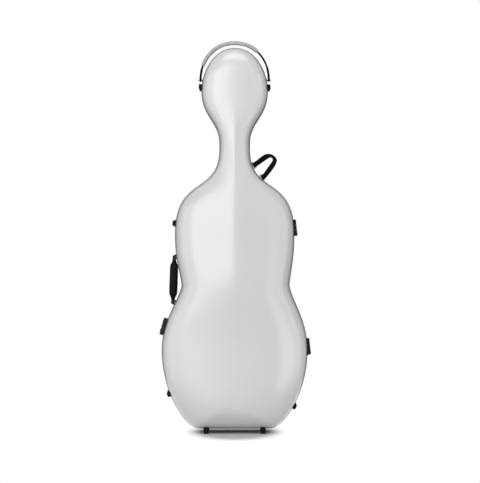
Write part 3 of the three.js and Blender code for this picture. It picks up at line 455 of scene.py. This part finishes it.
def half_outline(outline, waist):
    """Half of the outline as (x, z, normal x, normal z), with the waist's half width."""
    widths = (0, outline.bottom_flat / 2, outline.lower_bout / 2, waist, outline.upper_bout / 2, outline.neck / 2,
              outline.neck / 2, outline.head / 2, 0)
    corners = list(zip(widths, (0, 0, *case_levels(outline))))
    samples = []
    for a, d, (*shares, steps) in zip(corners, corners[1:], STRETCHES):
        b, c = ([u + (v - u) * share for u, v, share in zip(*ends)]
                for ends in ((a, d, shares[:2]), (d, a, shares[2:])))
        for step in range(steps):
            t = step / steps
            s = 1 - t
            point = [s ** 3 * a[i] + 3 * s * s * t * b[i] + 3 * s * t * t * c[i] + t ** 3 * d[i] for i in (0, 1)]
            slope = [3 * s * s * (b[i] - a[i]) + 6 * s * t * (c[i] - b[i]) + 3 * t * t * (d[i] - c[i]) for i in (0, 1)]
            size = math.hypot(*slope)
            samples.append((*point, slope[1] / size, -slope[0] / size))
    return samples


def whole_outline(outline):
    """The whole outline as a closed loop of samples, right side upwards, left side downwards."""
    right, left = half_outline(outline, outline.waist_right), half_outline(outline, outline.waist_left)
    crown = [(0, case_levels(outline)[-1], 0, 1)]
    return right + crown + [(-x, z, -nx, nz) for x, z, nx, nz in reversed(left[1:])]


class Shell:
    """One half of the case: its side of the seam, the depths along it, and its rings."""

    def __init__(self, settings, side):
        outline, section = settings.outline, settings.section
        bout, mid, upper, neck, _, head, top = case_levels(outline)
        self.section, self.side, self.top = section, side, top
        self.samples = whole_outline(outline)
        self.origin = case_origin(section)
        heights = (bout, upper, neck, head) if side > 0 else (bout, mid, upper, neck, head)
        depths = section.back_depths if side > 0 else section.lid_depths
        self.stations = list(zip(heights, depths))
        margin = section.spine_margin
        self.ridge = [(mid - margin, 0), (upper, section.ridge), (neck - margin, section.ridge), (head, 0)]

    def ring(self, inset, share, depth_at):
        """A ring at a share of the way out from the spine, set in from the rims' outer face."""
        points = []
        margin = self.section.spine_margin
        for x, z, nx, nz in self.samples:
            spine = min(max(z, margin), self.top - margin)
            height = spine + (z - nz * inset - spine) * share
            points.append(self.origin + Vector(((x - nx * inset) * share, self.side * depth_at(height), height)))
        return points

    def flat_ring(self, inset, depth):
        """A ring at one depth."""
        return self.ring(inset, 1, lambda height: depth)

    def dome(self, inset, rings):
        """Rings from the lip to the spine of a face."""
        skin = inset - self.section.rim_wall - self.section.clearance
        lip = self.section.shell_lip

        def depth_at(share, height):
            depth = profile_at(self.stations, height) - skin
            rise = (1 - share ** 3) ** (1 / 3)
            run = min((math.hypot(share, RIDGE_BLUNT) - RIDGE_BLUNT) / RIDGE_REACH, 1)
            crown = 0 if self.side > 0 else profile_at(self.ridge, height) * (1 - run) ** 2
            return lip + (depth - lip) * rise + crown

        shares = [1 - (step / rings) ** 3 for step in range(1, rings + 1)]
        return [self.ring(inset, share, lambda height, share=share: depth_at(share, height)) for share in shares]


def insets(section):
    """Insets of the shell's outer and inner face, the rim's inner face and the lining's two faces."""
    outer = section.rim_wall + section.clearance
    inner = outer + section.shell_wall
    lining = inner + section.clearance
    return outer, inner, lining + section.rim_wall, lining, lining + section.lining


def build_half(settings, name, side, slot, corners, sharp):
    """A shell or lining: from one face's spine, round its edge's corners of (inset, depth), to the other's spine."""
    shell = Shell(settings, side)
    rings = [*reversed(shell.dome(corners[0][0], INNER_RINGS)), *(shell.flat_ring(*corner) for corner in corners),
             *shell.dome(corners[-1][0], settings.section.rings)]
    return piece(name, loft(rings), slot, BODY_OF[name], [name], sharp)


def build_shell(settings, name, side):
    """A moulded shell with the edge that stands in its rim."""
    section = settings.section
    outer, inner = insets(section)[:2]
    lip, edge = section.shell_lip, section.clearance * 2 + section.rim_web
    build_half(settings, name, side, "gloss_shell", ((inner, lip), (inner, edge), (outer, edge), (outer, lip)), 50)


def build_lining(settings, name, side):
    """The lining inside a shell: plush over foam, with a soft rounded edge at the mouth."""
    section = settings.section
    outer, inner = insets(section)[3:]
    lip, mouth = section.shell_lip, section.rim_depth + section.clearance
    soft = (inner - outer) * 0.2
    corners = ((outer, lip), (outer, mouth + soft), (outer + soft, mouth), ((outer + inner) / 2, mouth),
               (inner - soft, mouth), (inner, mouth + soft), (inner, lip))
    build_half(settings, name, side, "plush", corners, 60)


def build_rims(settings):
    """The two channel rims round the seam and the seal that lies in the back one."""
    section = settings.section
    back, lid = Shell(settings, 1), Shell(settings, -1)
    _, _, rim_inner, inside, _ = insets(section)
    gap, wall, web, depth = section.clearance, section.rim_wall, section.rim_web, section.rim_depth
    seal_outer = rim_inner - section.seal_width
    seat = gap * 2 + section.seal_height
    channel = [(0, depth), (wall, depth), (wall, gap + web), (inside, gap + web), (inside, depth), (rim_inner, depth)]
    back_section = [(0, gap), *channel, (rim_inner, seat), (seal_outer - gap, seat), (seal_outer - gap, gap)]
    lid_section = [(0, gap), *channel, (rim_inner, gap)]
    top = gap + section.seal_height
    seal_section = [(seal_outer, 0), (rim_inner, 0), (rim_inner, top), (seal_outer, top)]
    for name, shell, corners, slot, width in (
            ("back_rim", back, back_section, "rim_metal", 0.5), ("lid_rim", lid, lid_section, "rim_metal", 0.5),
            ("rim_seal", back, seal_section, "rubber", 0.7)):
        bm = loft([shell.flat_ring(*corner) for corner in corners], closed=True)
        rounded(piece(name, bm, slot, BODY_OF[name], [name]), width)


class CASE_OT_shells(bpy.types.Operator):
    """Models the two moulded shells"""

    bl_idname = "cello_case.shells"
    bl_label = "Shells"

    def execute(self, context):
        build_shell(context.scene.cello_case, "back_shell", 1)
        build_shell(context.scene.cello_case, "lid_shell", -1)
        return {"FINISHED"}


class CASE_OT_rims(bpy.types.Operator):
    """Models the two rims and the seal between them"""

    bl_idname = "cello_case.rims"
    bl_label = "Rims and seal"

    def execute(self, context):
        build_rims(context.scene.cello_case)
        return {"FINISHED"}


class CASE_OT_linings(bpy.types.Operator):
    """Models the plush linings of both shells"""

    bl_idname = "cello_case.linings"
    bl_label = "Linings"

    def execute(self, context):
        build_lining(context.scene.cello_case, "back_lining", 1)
        build_lining(context.scene.cello_case, "lid_lining", -1)
        return {"FINISHED"}


# Foam pieces

def copy_of_node(node):
    """A bmesh copy of a CAD node's mesh with its loose triangles merged."""
    bm = bmesh.new()
    bm.from_mesh(frame["nodes"][node].data)
    bmesh.ops.remove_doubles(bm, verts=bm.verts, dist=0.05 * MM)
    return bm


def soften(obj, voxel_mm):
    """Rounds a block into covered foam: an even mesh, smoothed edges, a clean skin."""
    remesh = obj.modifiers.new("Even mesh", "REMESH")
    remesh.mode = "VOXEL"
    remesh.voxel_size = voxel_mm * MM
    smooth = obj.modifiers.new("Soft edges", "SMOOTH")
    smooth.factor, smooth.iterations = 0.5, 4
    apply_modifiers(obj)


def swell(obj):
    """Blows a pad's cover up a little with cloth, so that its faces crown, and caps how far each point moves."""
    start = [vertex.co.copy() for vertex in obj.data.vertices]
    cloth = obj.modifiers.new("Cover", "CLOTH").settings
    cloth.use_pressure = True
    cloth.uniform_pressure_force = PAD_PRESSURE
    cloth.effector_weights.gravity = 0
    for number in range(1, SWELL_FRAMES + 1):
        bpy.context.scene.frame_set(number)
    apply_modifiers(obj)
    bpy.context.scene.frame_set(1)
    for vertex, place in zip(obj.data.vertices, start):
        move = vertex.co - place
        if move.length > PAD_CAP:
            vertex.co = place + move.normalized() * PAD_CAP


class CASE_OT_foam(bpy.types.Operator):
    """Models the covered foam supports, the pockets and the bow rest"""

    bl_idname = "cello_case.foam"
    bl_label = "Foam supports"

    def execute(self, context):
        for name in FOAM_PIECES:
            obj = piece(name, copy_of_node(name), "foam", BODY_OF[name], [name])
            if name in SWOLLEN_PADS:
                soften(obj, 5)
                swell(obj)
                crown = obj.modifiers.new("Subdivision", "SUBSURF")
                crown.levels = crown.render_levels = 1
            else:
                soften(obj, 2.5)
            for polygon in obj.data.polygons:
                polygon.use_smooth = True
        return {"FINISHED"}


# Handles and straps

def drawn_out(turn, fullness):
    """Cosine and sine of a turn, drawn out from a circle towards a square."""
    return [math.copysign(abs(v) ** (2 / fullness), v) for v in (math.cos(turn), math.sin(turn))]


def rounded_section(across, over, width, thickness, fullness, count):
    """Offsets round a rounded rectangle, width along across and thickness along over."""
    turns = [2 * math.pi * (step + 0.5) / count for step in range(count)]
    return [across * (x * width / 2) + over * (y * thickness / 2)
            for x, y in (drawn_out(turn, fullness) for turn in turns)]


def evenly(start, end, steps):
    """Values from start to end in even steps."""
    return [start + (end - start) * step / steps for step in range(steps + 1)]


def smooth_path(points):
    """Cuts the corners of an open path. Each point may be any tuple of numbers."""
    for _ in range(CORNER_CUTS):
        cut = [points[0]]
        for a, b in zip(points, points[1:]):
            cut += [tuple(u * (1 - share) + v * share for u, v in zip(a, b)) for share in (0.25, 0.75)]
        points = cut + [points[-1]]
    return points


def spaced(path, pitch):
    """Places at an even pitch along a path of points, each with its direction."""
    places, left = [], pitch / 2
    for a, b in zip(path, path[1:]):
        run, size = b - a, (b - a).length
        while left < size:
            places.append((a + run * (left / size), run.normalized()))
            left += pitch
        left -= size
    return places


def stitched(name, paths, body, settings, slot="webbing", look="thread"):
    """A piece made of rows of thread stitches."""
    bm = bmesh.new()
    size = Matrix.Diagonal((settings.stitch_length / 2, THREAD / 2, THREAD / 2, 1))
    for path in paths:
        for place, way in spaced(path, settings.stitch_pitch):
            turn = Vector((1, 0, 0)).rotation_difference(way).to_matrix().to_4x4()
            bmesh.ops.create_icosphere(bm, subdivisions=2, radius=1, matrix=Matrix.Translation(place) @ turn @ size)
    piece(name, bm, slot, body, sharp=80, look=look)


def pin_piece(name, place, way, reach, radius, body):
    """A round steel pin with slightly domed ends, centred on a place."""
    rounded(piece(name, cylinder(place, way, reach * 2, radius), "steel", body), radius / MM * 0.3, segments=3)


def joint_frame(name):
    """The place of a joint and its axis."""
    joint = JOINT[name]
    return Vector(joint["pos_m"]), Vector(joint["axis"]).normalized()


def build_side_handle(settings):
    """The padded carry handle: leather over foam, narrowed to its two ends, sewn along the inner side."""
    middle, along = joint_frame("side_handle_tilt")
    out = Vector((along.z, 0, -along.x))
    low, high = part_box("side_handle_grip")
    reach, half, shoulder = (high.z - low.z) / 2, settings.grip_length / 2, settings.grip_shoulder
    width, thickness, neck, tip = settings.grip_width, settings.grip_thickness, settings.grip_neck, settings.grip_tip
    # Distance from the middle, width and thickness, from the end inwards
    stations = (
        (reach - 6 * MM, tip, tip), (half + 1.5 * MM, neck, neck), (half, neck + 2 * MM, neck + 2 * MM),
        (half - shoulder, width, thickness), (half / 3, width * 1.01, thickness * 1.01),
    )
    rings = []
    for z, across, over in smooth_path([(-z, *size) for z, *size in stations] + [*reversed(stations)]):
        pad = min(max((half - abs(z)) / shoulder, 0), 1)
        ring = []
        for offset in rounded_section(out, DEPTH, across, over, 2.3 + 0.9 * pad, 40):
            turn = math.atan2(offset.dot(DEPTH), -offset.dot(out))
            groove = SEAM_DEPTH * pad * math.exp(-(turn / SEAM_SPREAD) ** 2)
            ring.append(middle + along * z + offset * (1 - groove / offset.length))
        rings.append(ring)
    grip = piece("side_handle_pad", loft(rings, capped=True), "leather", "side_handle", ["side_handle_grip"])
    pin_piece("side_handle_pin", middle, along, reach - 0.5 * MM, settings.pin_radius, "side_handle")
    seam = middle - out * (width / 2 + 0.1 * MM)
    rows = [[seam + along * z + DEPTH * (side * 2.6 * MM) for z in (shoulder - half, half - shoulder)]
            for side in (-1, 1)]
    stitched("side_handle_stitches", rows, "side_handle", settings, "leather")


def arch_frame(settings, degrees):
    """A point of the head handle's arch, and the way inwards."""
    centre = joint_frame("head_handle_swing")[0]

    def at(angle):
        x, z = drawn_out(angle, ARCH_FULLNESS)
        return centre + Vector((settings.arch_half * x, 0, settings.arch_rise * z))

    turn = math.radians(degrees)
    tangent = (at(min(turn + 0.01, math.pi)) - at(max(turn - 0.01, 0))).normalized()
    return at(turn), Vector((-tangent.z, 0, tangent.x))


def arch_loft(settings, turns, size_at, fullness, count):
    """A skin along the arch. size_at gives thickness and width at a turn."""
    rings = []
    for degrees in turns:
        place, inward = arch_frame(settings, degrees)
        offsets = rounded_section(inward, DEPTH, *size_at(degrees), fullness, count)
        rings.append([place + offset for offset in offsets])
    return loft(rings, capped=True)


def arch_row(settings, turns, inside, aside):
    """Points along the arch, set inwards and to one side."""
    frames = [arch_frame(settings, degrees) for degrees in turns]
    return [place + inward * inside + DEPTH * aside for place, inward in frames]


def build_head_handle(settings):
    """The head handle: a webbing strap, doubled at its ends, with a soft grey sleeve sewn round its crown."""
    thickness, plump = settings.strap_thickness, settings.sleeve_thickness

    def strap_size(degrees):
        doubled = 1 - smoothstep(min(degrees, 180 - degrees), 17, 21)
        sleeved = smoothstep(degrees, SLEEVE_FROM - 3, SLEEVE_FROM) * (
            1 - smoothstep(degrees, SLEEVE_TO, SLEEVE_TO + 3))
        return thickness * (0.9 + 0.9 * (1 - sleeved) + 0.5 * doubled), settings.strap_width

    def sleeve_size(degrees):
        near = min(degrees - SLEEVE_FROM, SLEEVE_TO - degrees)
        full = 1 - 0.12 * (1 - smoothstep(near, -0.5, 5)) + 0.02 * math.sin(math.radians(degrees) * 9)
        full *= 0.8 if near < 0 else 1
        return plump * full, settings.sleeve_width * full

    strap = arch_loft(settings, evenly(0, 180, 56), strap_size, 5, 20)
    piece("head_handle_webbing", strap, "webbing", "head_handle", ["head_handle_strap"])
    centre = joint_frame("head_handle_swing")[0]
    for end, way in (("left", -1), ("right", 1)):
        place = centre + Vector((way * settings.arch_half, 0, 0))
        eye = cylinder(place, -DEPTH, settings.strap_width, 5.2 * MM, 28)
        flat = Matrix.Translation(place) @ Matrix.Diagonal((0.62, 1, 1, 1)) @ Matrix.Translation(-place)
        bmesh.ops.transform(eye, matrix=flat, verts=eye.verts)
        rounded(piece(f"head_handle_fold_{end}", eye, "webbing", "head_handle"), 0.8, segments=3)
        pin_piece(f"head_handle_pin_{end}", place + Vector((way * 5.6 * MM, 0, 0)), Vector((1, 0, 0)), 2.2 * MM,
                  settings.pin_radius * 1.35, "back")
    span = evenly(SLEEVE_FROM, SLEEVE_TO, 40)
    sleeve = arch_loft(settings, [SLEEVE_FROM - 0.6, *span, SLEEVE_TO + 0.6], sleeve_size, 2.7, 32)
    piece("head_handle_pad", sleeve, "grey_sleeve", "head_handle", ["head_handle_sleeve"])
    rows = [arch_row(settings, span[1:-1], plump / 2 - 0.5 * MM, side * 4 * MM) for side in (-1, 1)]
    stitched("head_handle_sleeve_stitches", rows, "head_handle", settings, "grey_sleeve", "grey_thread")
    edge = settings.strap_width / 2 - 2.5 * MM
    rows = [arch_row(settings, evenly(*ends, 8), -thickness * 0.83, side * edge)
            for ends in ((3, 19), (161, 177)) for side in (-1, 1)]
    stitched("head_handle_strap_stitches", rows, "head_handle", settings)


# The neck loop's band from its upper to its lower pin: points on its outer and inner edge, as shares of its reach
# and of half its length at the root
LOOP_PATH = (
    ((0, 1), (0, 1)), ((0.12, 1), (0.12, 1)), ((0.6, 1.08), (0.62, 1.04)), ((0.78, 0.96), (0.76, 1.0)),
    ((0.94, 0.62), (0.83, 0.74)), ((1, 0.1), (0.82, 0.28)), ((0.95, -0.24), (0.74, 0.06)),
    ((0.72, -0.56), (0.55, -0.22)), ((0.12, -1), (0.12, -1)), ((0, -1), (0, -1)),
)


def build_neck_loop(settings):
    """The webbing loop below the neck: one flat band round from pin to pin, sewn along both edges."""
    middle, along = joint_frame("neck_loop_swing")
    out = Vector((along.z, 0, -along.x))
    web, root = settings.loop_width / 2, settings.loop_root
    pairs = [(a[0] * settings.loop_reach, a[1] * (root + web), b[0] * settings.loop_reach, b[1] * (root - web))
             for a, b in LOOP_PATH]
    rings, rows = [], ([], [])
    for x0, z0, x1, z1 in smooth_path(pairs):
        outer, inner = middle + out * x0 + along * z0, middle + out * x1 + along * z1
        across = (outer - inner).normalized()
        offsets = rounded_section(across, DEPTH, (outer - inner).length - 0.4 * MM, 3.4 * MM, 6, 20)
        rings.append([(outer + inner) / 2 + offset for offset in offsets])
        for row, edge in zip(rows, (outer - across * 2.2 * MM, inner + across * 2.2 * MM)):
            row.append(edge - DEPTH * 1.75 * MM)
    piece("neck_loop_webbing", loft(rings, capped=True), "webbing", "neck_loop", ["neck_loop"])
    for end, way in (("upper", 1), ("lower", -1)):
        eye = cylinder(middle + along * (way * root), along, settings.loop_width, 4.4 * MM)
        rounded(piece(f"neck_loop_fold_{end}", eye, "webbing", "neck_loop"), 0.7, segments=3)
    stitched("neck_loop_stitches", rows, "neck_loop", settings)


def build_neck_strap(settings):
    """The strap that holds the cello's neck in its cradle: padded webbing with a sewn edge."""
    low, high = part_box("neck_strap")
    pivot = joint_frame("neck_strap_turn")[0]
    path = smooth_path([(low.x + 1 * MM,), (pivot.x + 4 * MM,), (0.0,), (high.x - 1 * MM,)])
    offsets = rounded_section(UP, DEPTH, high.z - low.z - 0.6 * MM, 3 * MM, 5, 24)
    rings = [[Vector((x, pivot.y, (low.z + high.z) / 2)) + offset for offset in offsets] for (x,) in path]
    piece("neck_strap_webbing", loft(rings, capped=True), "webbing", "neck_strap", ["neck_strap"])
    rows = [[Vector((x, pivot.y - 1.6 * MM, edge)) for x in (pivot.x + 5 * MM, high.x - 4 * MM)]
            for edge in (low.z + 3 * MM, high.z - 3 * MM)]
    stitched("neck_strap_stitches", rows, "neck_strap", settings)


class CASE_OT_handles(bpy.types.Operator):
    """Models the side handle, the head handle, the neck loop and the neck strap"""

    bl_idname = "cello_case.handles"
    bl_label = "Handles and straps"

    def execute(self, context):
        settings = context.scene.cello_case.handles
        for build in (build_side_handle, build_head_handle, build_neck_loop, build_neck_strap):
            build(settings)
        return {"FINISHED"}


# Fittings

def dial_figures(name):
    """The enamelled figures round one dial of the lock."""
    centre, axis = joint_frame(f"{name}_spin")
    out = Vector((axis.z, 0, -axis.x))
    out = out if out.x < 0 else -out
    up = -axis if axis.z < 0 else axis
    bm = bmesh.new()
    for number in range(FIGURES):
        text = bpy.data.curves.new("figure", "FONT")
        text.body = str(number)
        text.size = FIGURE_SIZE
        text.align_x = text.align_y = "CENTER"
        text.extrude = FIGURE_RELIEF
        holder = add_object("figure", text)
        mesh = bpy.data.meshes.new_from_object(holder.evaluated_get(bpy.context.evaluated_depsgraph_get()))
        bpy.data.objects.remove(holder)
        radial = Matrix.Rotation(2 * math.pi * number / FIGURES, 3, axis) @ out
        turn = Matrix((up.cross(radial), up, radial)).transposed().to_4x4()
        mesh.transform(Matrix.Translation(centre + radial * FIGURE_RADIUS) @ turn)
        bm.from_mesh(mesh)
        bpy.data.meshes.remove(mesh)
    piece(f"{name}_figures", bm, "steel", name, sharp=30, look="figures")


class CASE_OT_fittings(bpy.types.Operator):
    """Gives the latches, hinges, lock, brackets, feet and clips their finishes and rounded edges"""

    bl_idname = "cello_case.fittings"
    bl_label = "Fittings"

    def execute(self, context):
        for name, obj in frame["nodes"].items():
            if obj.hide_render:
                continue
            obj.data.materials.clear()
            obj.data.materials.append(FINISHES[SLOT_OF[name]])
            weld = obj.modifiers.new("Weld", "WELD")
            weld.merge_threshold = 0.02 * MM
            width, segments = (1.0, 3) if "foot" in name else (0.35, 2)
            rounded(obj, width, segments, angle=25)
        for number in (1, 2, 3):
            dial_figures(f"lock_dial_{number}")
        return {"FINISHED"}


# Stage

def soft_lamp(name, place, target, size, radiance):
    """A rectangular soft lamp that faces a point. Its power follows from its radiance and size."""
    data = bpy.data.lights.new(name, "AREA")
    data.shape = "RECTANGLE"
    data.size, data.size_y = size
    data.energy = radiance * math.pi * size[0] * size[1]
    lamp = add_object(name, data)
    lamp.location = place
    lamp.rotation_euler = (Vector(target) - Vector(place)).to_track_quat("-Z", "Y").to_euler()
    return lamp


def around(degrees, height):
    """A panel's place at a height, degrees to the right of the camera's side of the case."""
    turn = math.radians(degrees)
    return (math.sin(turn) * PANEL_DISTANCE, -math.cos(turn) * PANEL_DISTANCE, height)


# Soft panels round the case: name, degrees from the camera's side, height of the middle, and size in metres.
# The low ones reach below the floor's edge, where the lower bout mirrors them
PANELS = (
    ("side_left", -65, 1.0, (2.85, 3.6)), ("left", -22, 1.6, (2.85, 2.4)), ("left_low", -22, -0.2, (2.85, 1.2)),
    ("centre", 4, 1.6, (0.95, 2.4)), ("right", 37.5, 1.6, (1.9, 2.4)), ("right_low", 37.5, -0.2, (1.9, 1.2)),
    ("side_right", 67.5, 1.0, (1.9, 3.6)),
)


class CASE_OT_stage(bpy.types.Operator):
    """Sets up the camera, the floor, the white surround and the soft lamps"""

    bl_idname = "cello_case.stage"
    bl_label = "Stage"

    def execute(self, context):
        scene, stage = context.scene, context.scene.cello_case.stage
        scene.view_settings.view_transform = "Standard"
        data = bpy.data.cameras.new("camera")
        data.sensor_fit = "HORIZONTAL"
        data.lens = data.sensor_width * stage.distance / stage.view_width
        camera = scene.camera = add_object("camera", data)
        camera.location = (stage.view_offset, -stage.distance, stage.view_height)
        camera.rotation_euler = (math.pi / 2, 0, 0)

        bm = bmesh.new()
        bmesh.ops.create_grid(bm, x_segments=1, y_segments=1, size=stage.floor)
        mesh = bpy.data.meshes.new("floor")
        bm.to_mesh(mesh)
        bm.free()
        add_object("floor", mesh)
        mesh.materials.append(floor_paper())
        surround(scene, stage)
        for name, degrees, height, size in PANELS:
            soft_lamp(name, around(degrees, height), (0, 0, height), size, getattr(stage, name))
        soft_lamp("top", (0, -1.5, 3.2), (0, 0, 0.7), (2.4, 1.6), stage.top)
        # The panel behind only lights the case: mirrored, it would draw a white line along the head's edge
        soft_lamp("back", (0, 2.6, 2.6), (0, 0, 0.7), (3.0, 1.6), stage.back).visible_glossy = False
        return {"FINISHED"}


def light_share(tree):
    """The socket that is 1 for rays that show or mirror the surround, and 0 for rays that light the case."""
    ray = add_node(tree, "LightPath")
    seen = ray.outputs["Is Camera Ray"]
    for kind in ("Is Glossy Ray", "Is Transmission Ray"):
        seen = add_node(tree, "Math", {0: seen, 1: ray.outputs[kind]}, operation="MAXIMUM").outputs[0]
    return seen


def floor_paper():
    """Background paper: it takes the shadow under the case, deepened there by its painted grey shade, and reads as
    white further out.

    Only rays that show or mirror it see that glow, so it adds no light to the case."""
    material, tree, paper = new_material("background paper with painted shade")
    # The paper is grey, not white: painted shade that deepens the contact shadow, seen only within the ellipse under
    # the case
    paper.inputs["Base Color"].default_value = linear("#D6D6D6")
    paper.inputs["Roughness"].default_value = 0.95
    paper.inputs["Specular IOR Level"].default_value = 0.0
    place = add_node(tree, "TexCoord").outputs["Object"]
    # An ellipse of paper under the case takes light and shadow, deepened by the painted shade of its grey: its half
    # axes are 0.185 and 0.36 m
    near = add_node(tree, "Mapping", {"Vector": place, "Scale": (1 / 0.185, 1 / 0.36, 1)})
    far = add_node(tree, "VectorMath", {0: near.outputs["Vector"]}, operation="LENGTH").outputs["Value"]
    fade = add_node(
        tree, "MapRange", {"Value": far, "From Min": 0.6, "From Max": 1.0}, interpolation_type="SMOOTHSTEP")
    glow = add_node(tree, "Emission")
    shown = add_node(tree, "Math", {0: light_share(tree), 1: fade.outputs["Result"]}, operation="MULTIPLY")
    mix = add_node(tree, "MixShader", {
        0: shown.outputs[0], 1: paper.outputs["BSDF"], 2: glow.outputs["Emission"]})
    tree.links.new(mix.outputs["Shader"], tree.nodes["Material Output"].inputs["Surface"])
    return material


def surround(scene, stage):
    """A white surround for what is seen directly or mirrored, and a grey one that lights the rest.

    What the case mirrors of its far side is dark, as with cards beside a white backdrop, so that its edges show."""
    world = bpy.data.worlds.new("studio")
    scene.world = world
    world.use_nodes = True
    tree = world.node_tree
    tree.nodes.clear()
    direction = add_node(tree, "TexCoord").outputs["Generated"]
    away = add_node(tree, "SeparateXYZ", {"Vector": direction}).outputs["Y"]
    cards = add_node(tree, "MapRange", {
        "Value": away, "From Min": 0.35, "From Max": 0.85, "To Min": 1.0, "To Max": stage.cards,
    }, interpolation_type="SMOOTHSTEP").outputs["Result"]
    camera = add_node(tree, "LightPath").outputs["Is Camera Ray"]
    shown = add_node(tree, "Math", {0: camera, 1: cards}, operation="MAXIMUM").outputs[0]
    grey, white = (add_node(tree, "Background", {"Color": (1, 1, 1, 1), "Strength": strength})
                   for strength in (stage.surround, shown))
    mix = add_node(tree, "MixShader", {
        0: light_share(tree), 1: grey.outputs["Background"], 2: white.outputs["Background"]})
    add_node(tree, "OutputWorld", {"Surface": mix.outputs["Shader"]})


class CASE_PT_panel(bpy.types.Panel):
    """Lists the steps that dress the case"""

    bl_idname = "CASE_PT_panel"
    bl_label = "Cello case"
    bl_space_type = "VIEW_3D"
    bl_region_type = "UI"
    bl_category = "Cello case"

    def draw(self, context):
        for operator in OPERATORS:
            self.layout.operator(operator.bl_idname)


OPERATORS = (
    CASE_OT_shells, CASE_OT_rims, CASE_OT_linings, CASE_OT_foam, CASE_OT_handles, CASE_OT_fittings, CASE_OT_stage,
)
CLASSES = (
    CaseOutline, CaseSection, CaseColours, CaseHandles, CaseStage, CaseSettings, *OPERATORS, CASE_PT_panel,
)


def register():
    for cls in CLASSES:
        bpy.utils.register_class(cls)
    bpy.types.Scene.cello_case = PointerProperty(type=CaseSettings)


def unregister():
    del bpy.types.Scene.cello_case
    for cls in reversed(CLASSES):
        bpy.utils.unregister_class(cls)


def main():
    register()
    make_finishes(bpy.context.scene.cello_case.colours)
    for operator in OPERATORS:
        getattr(bpy.ops.cello_case, operator.bl_idname.split(".")[1])()


if __name__ == "__main__":
    main()
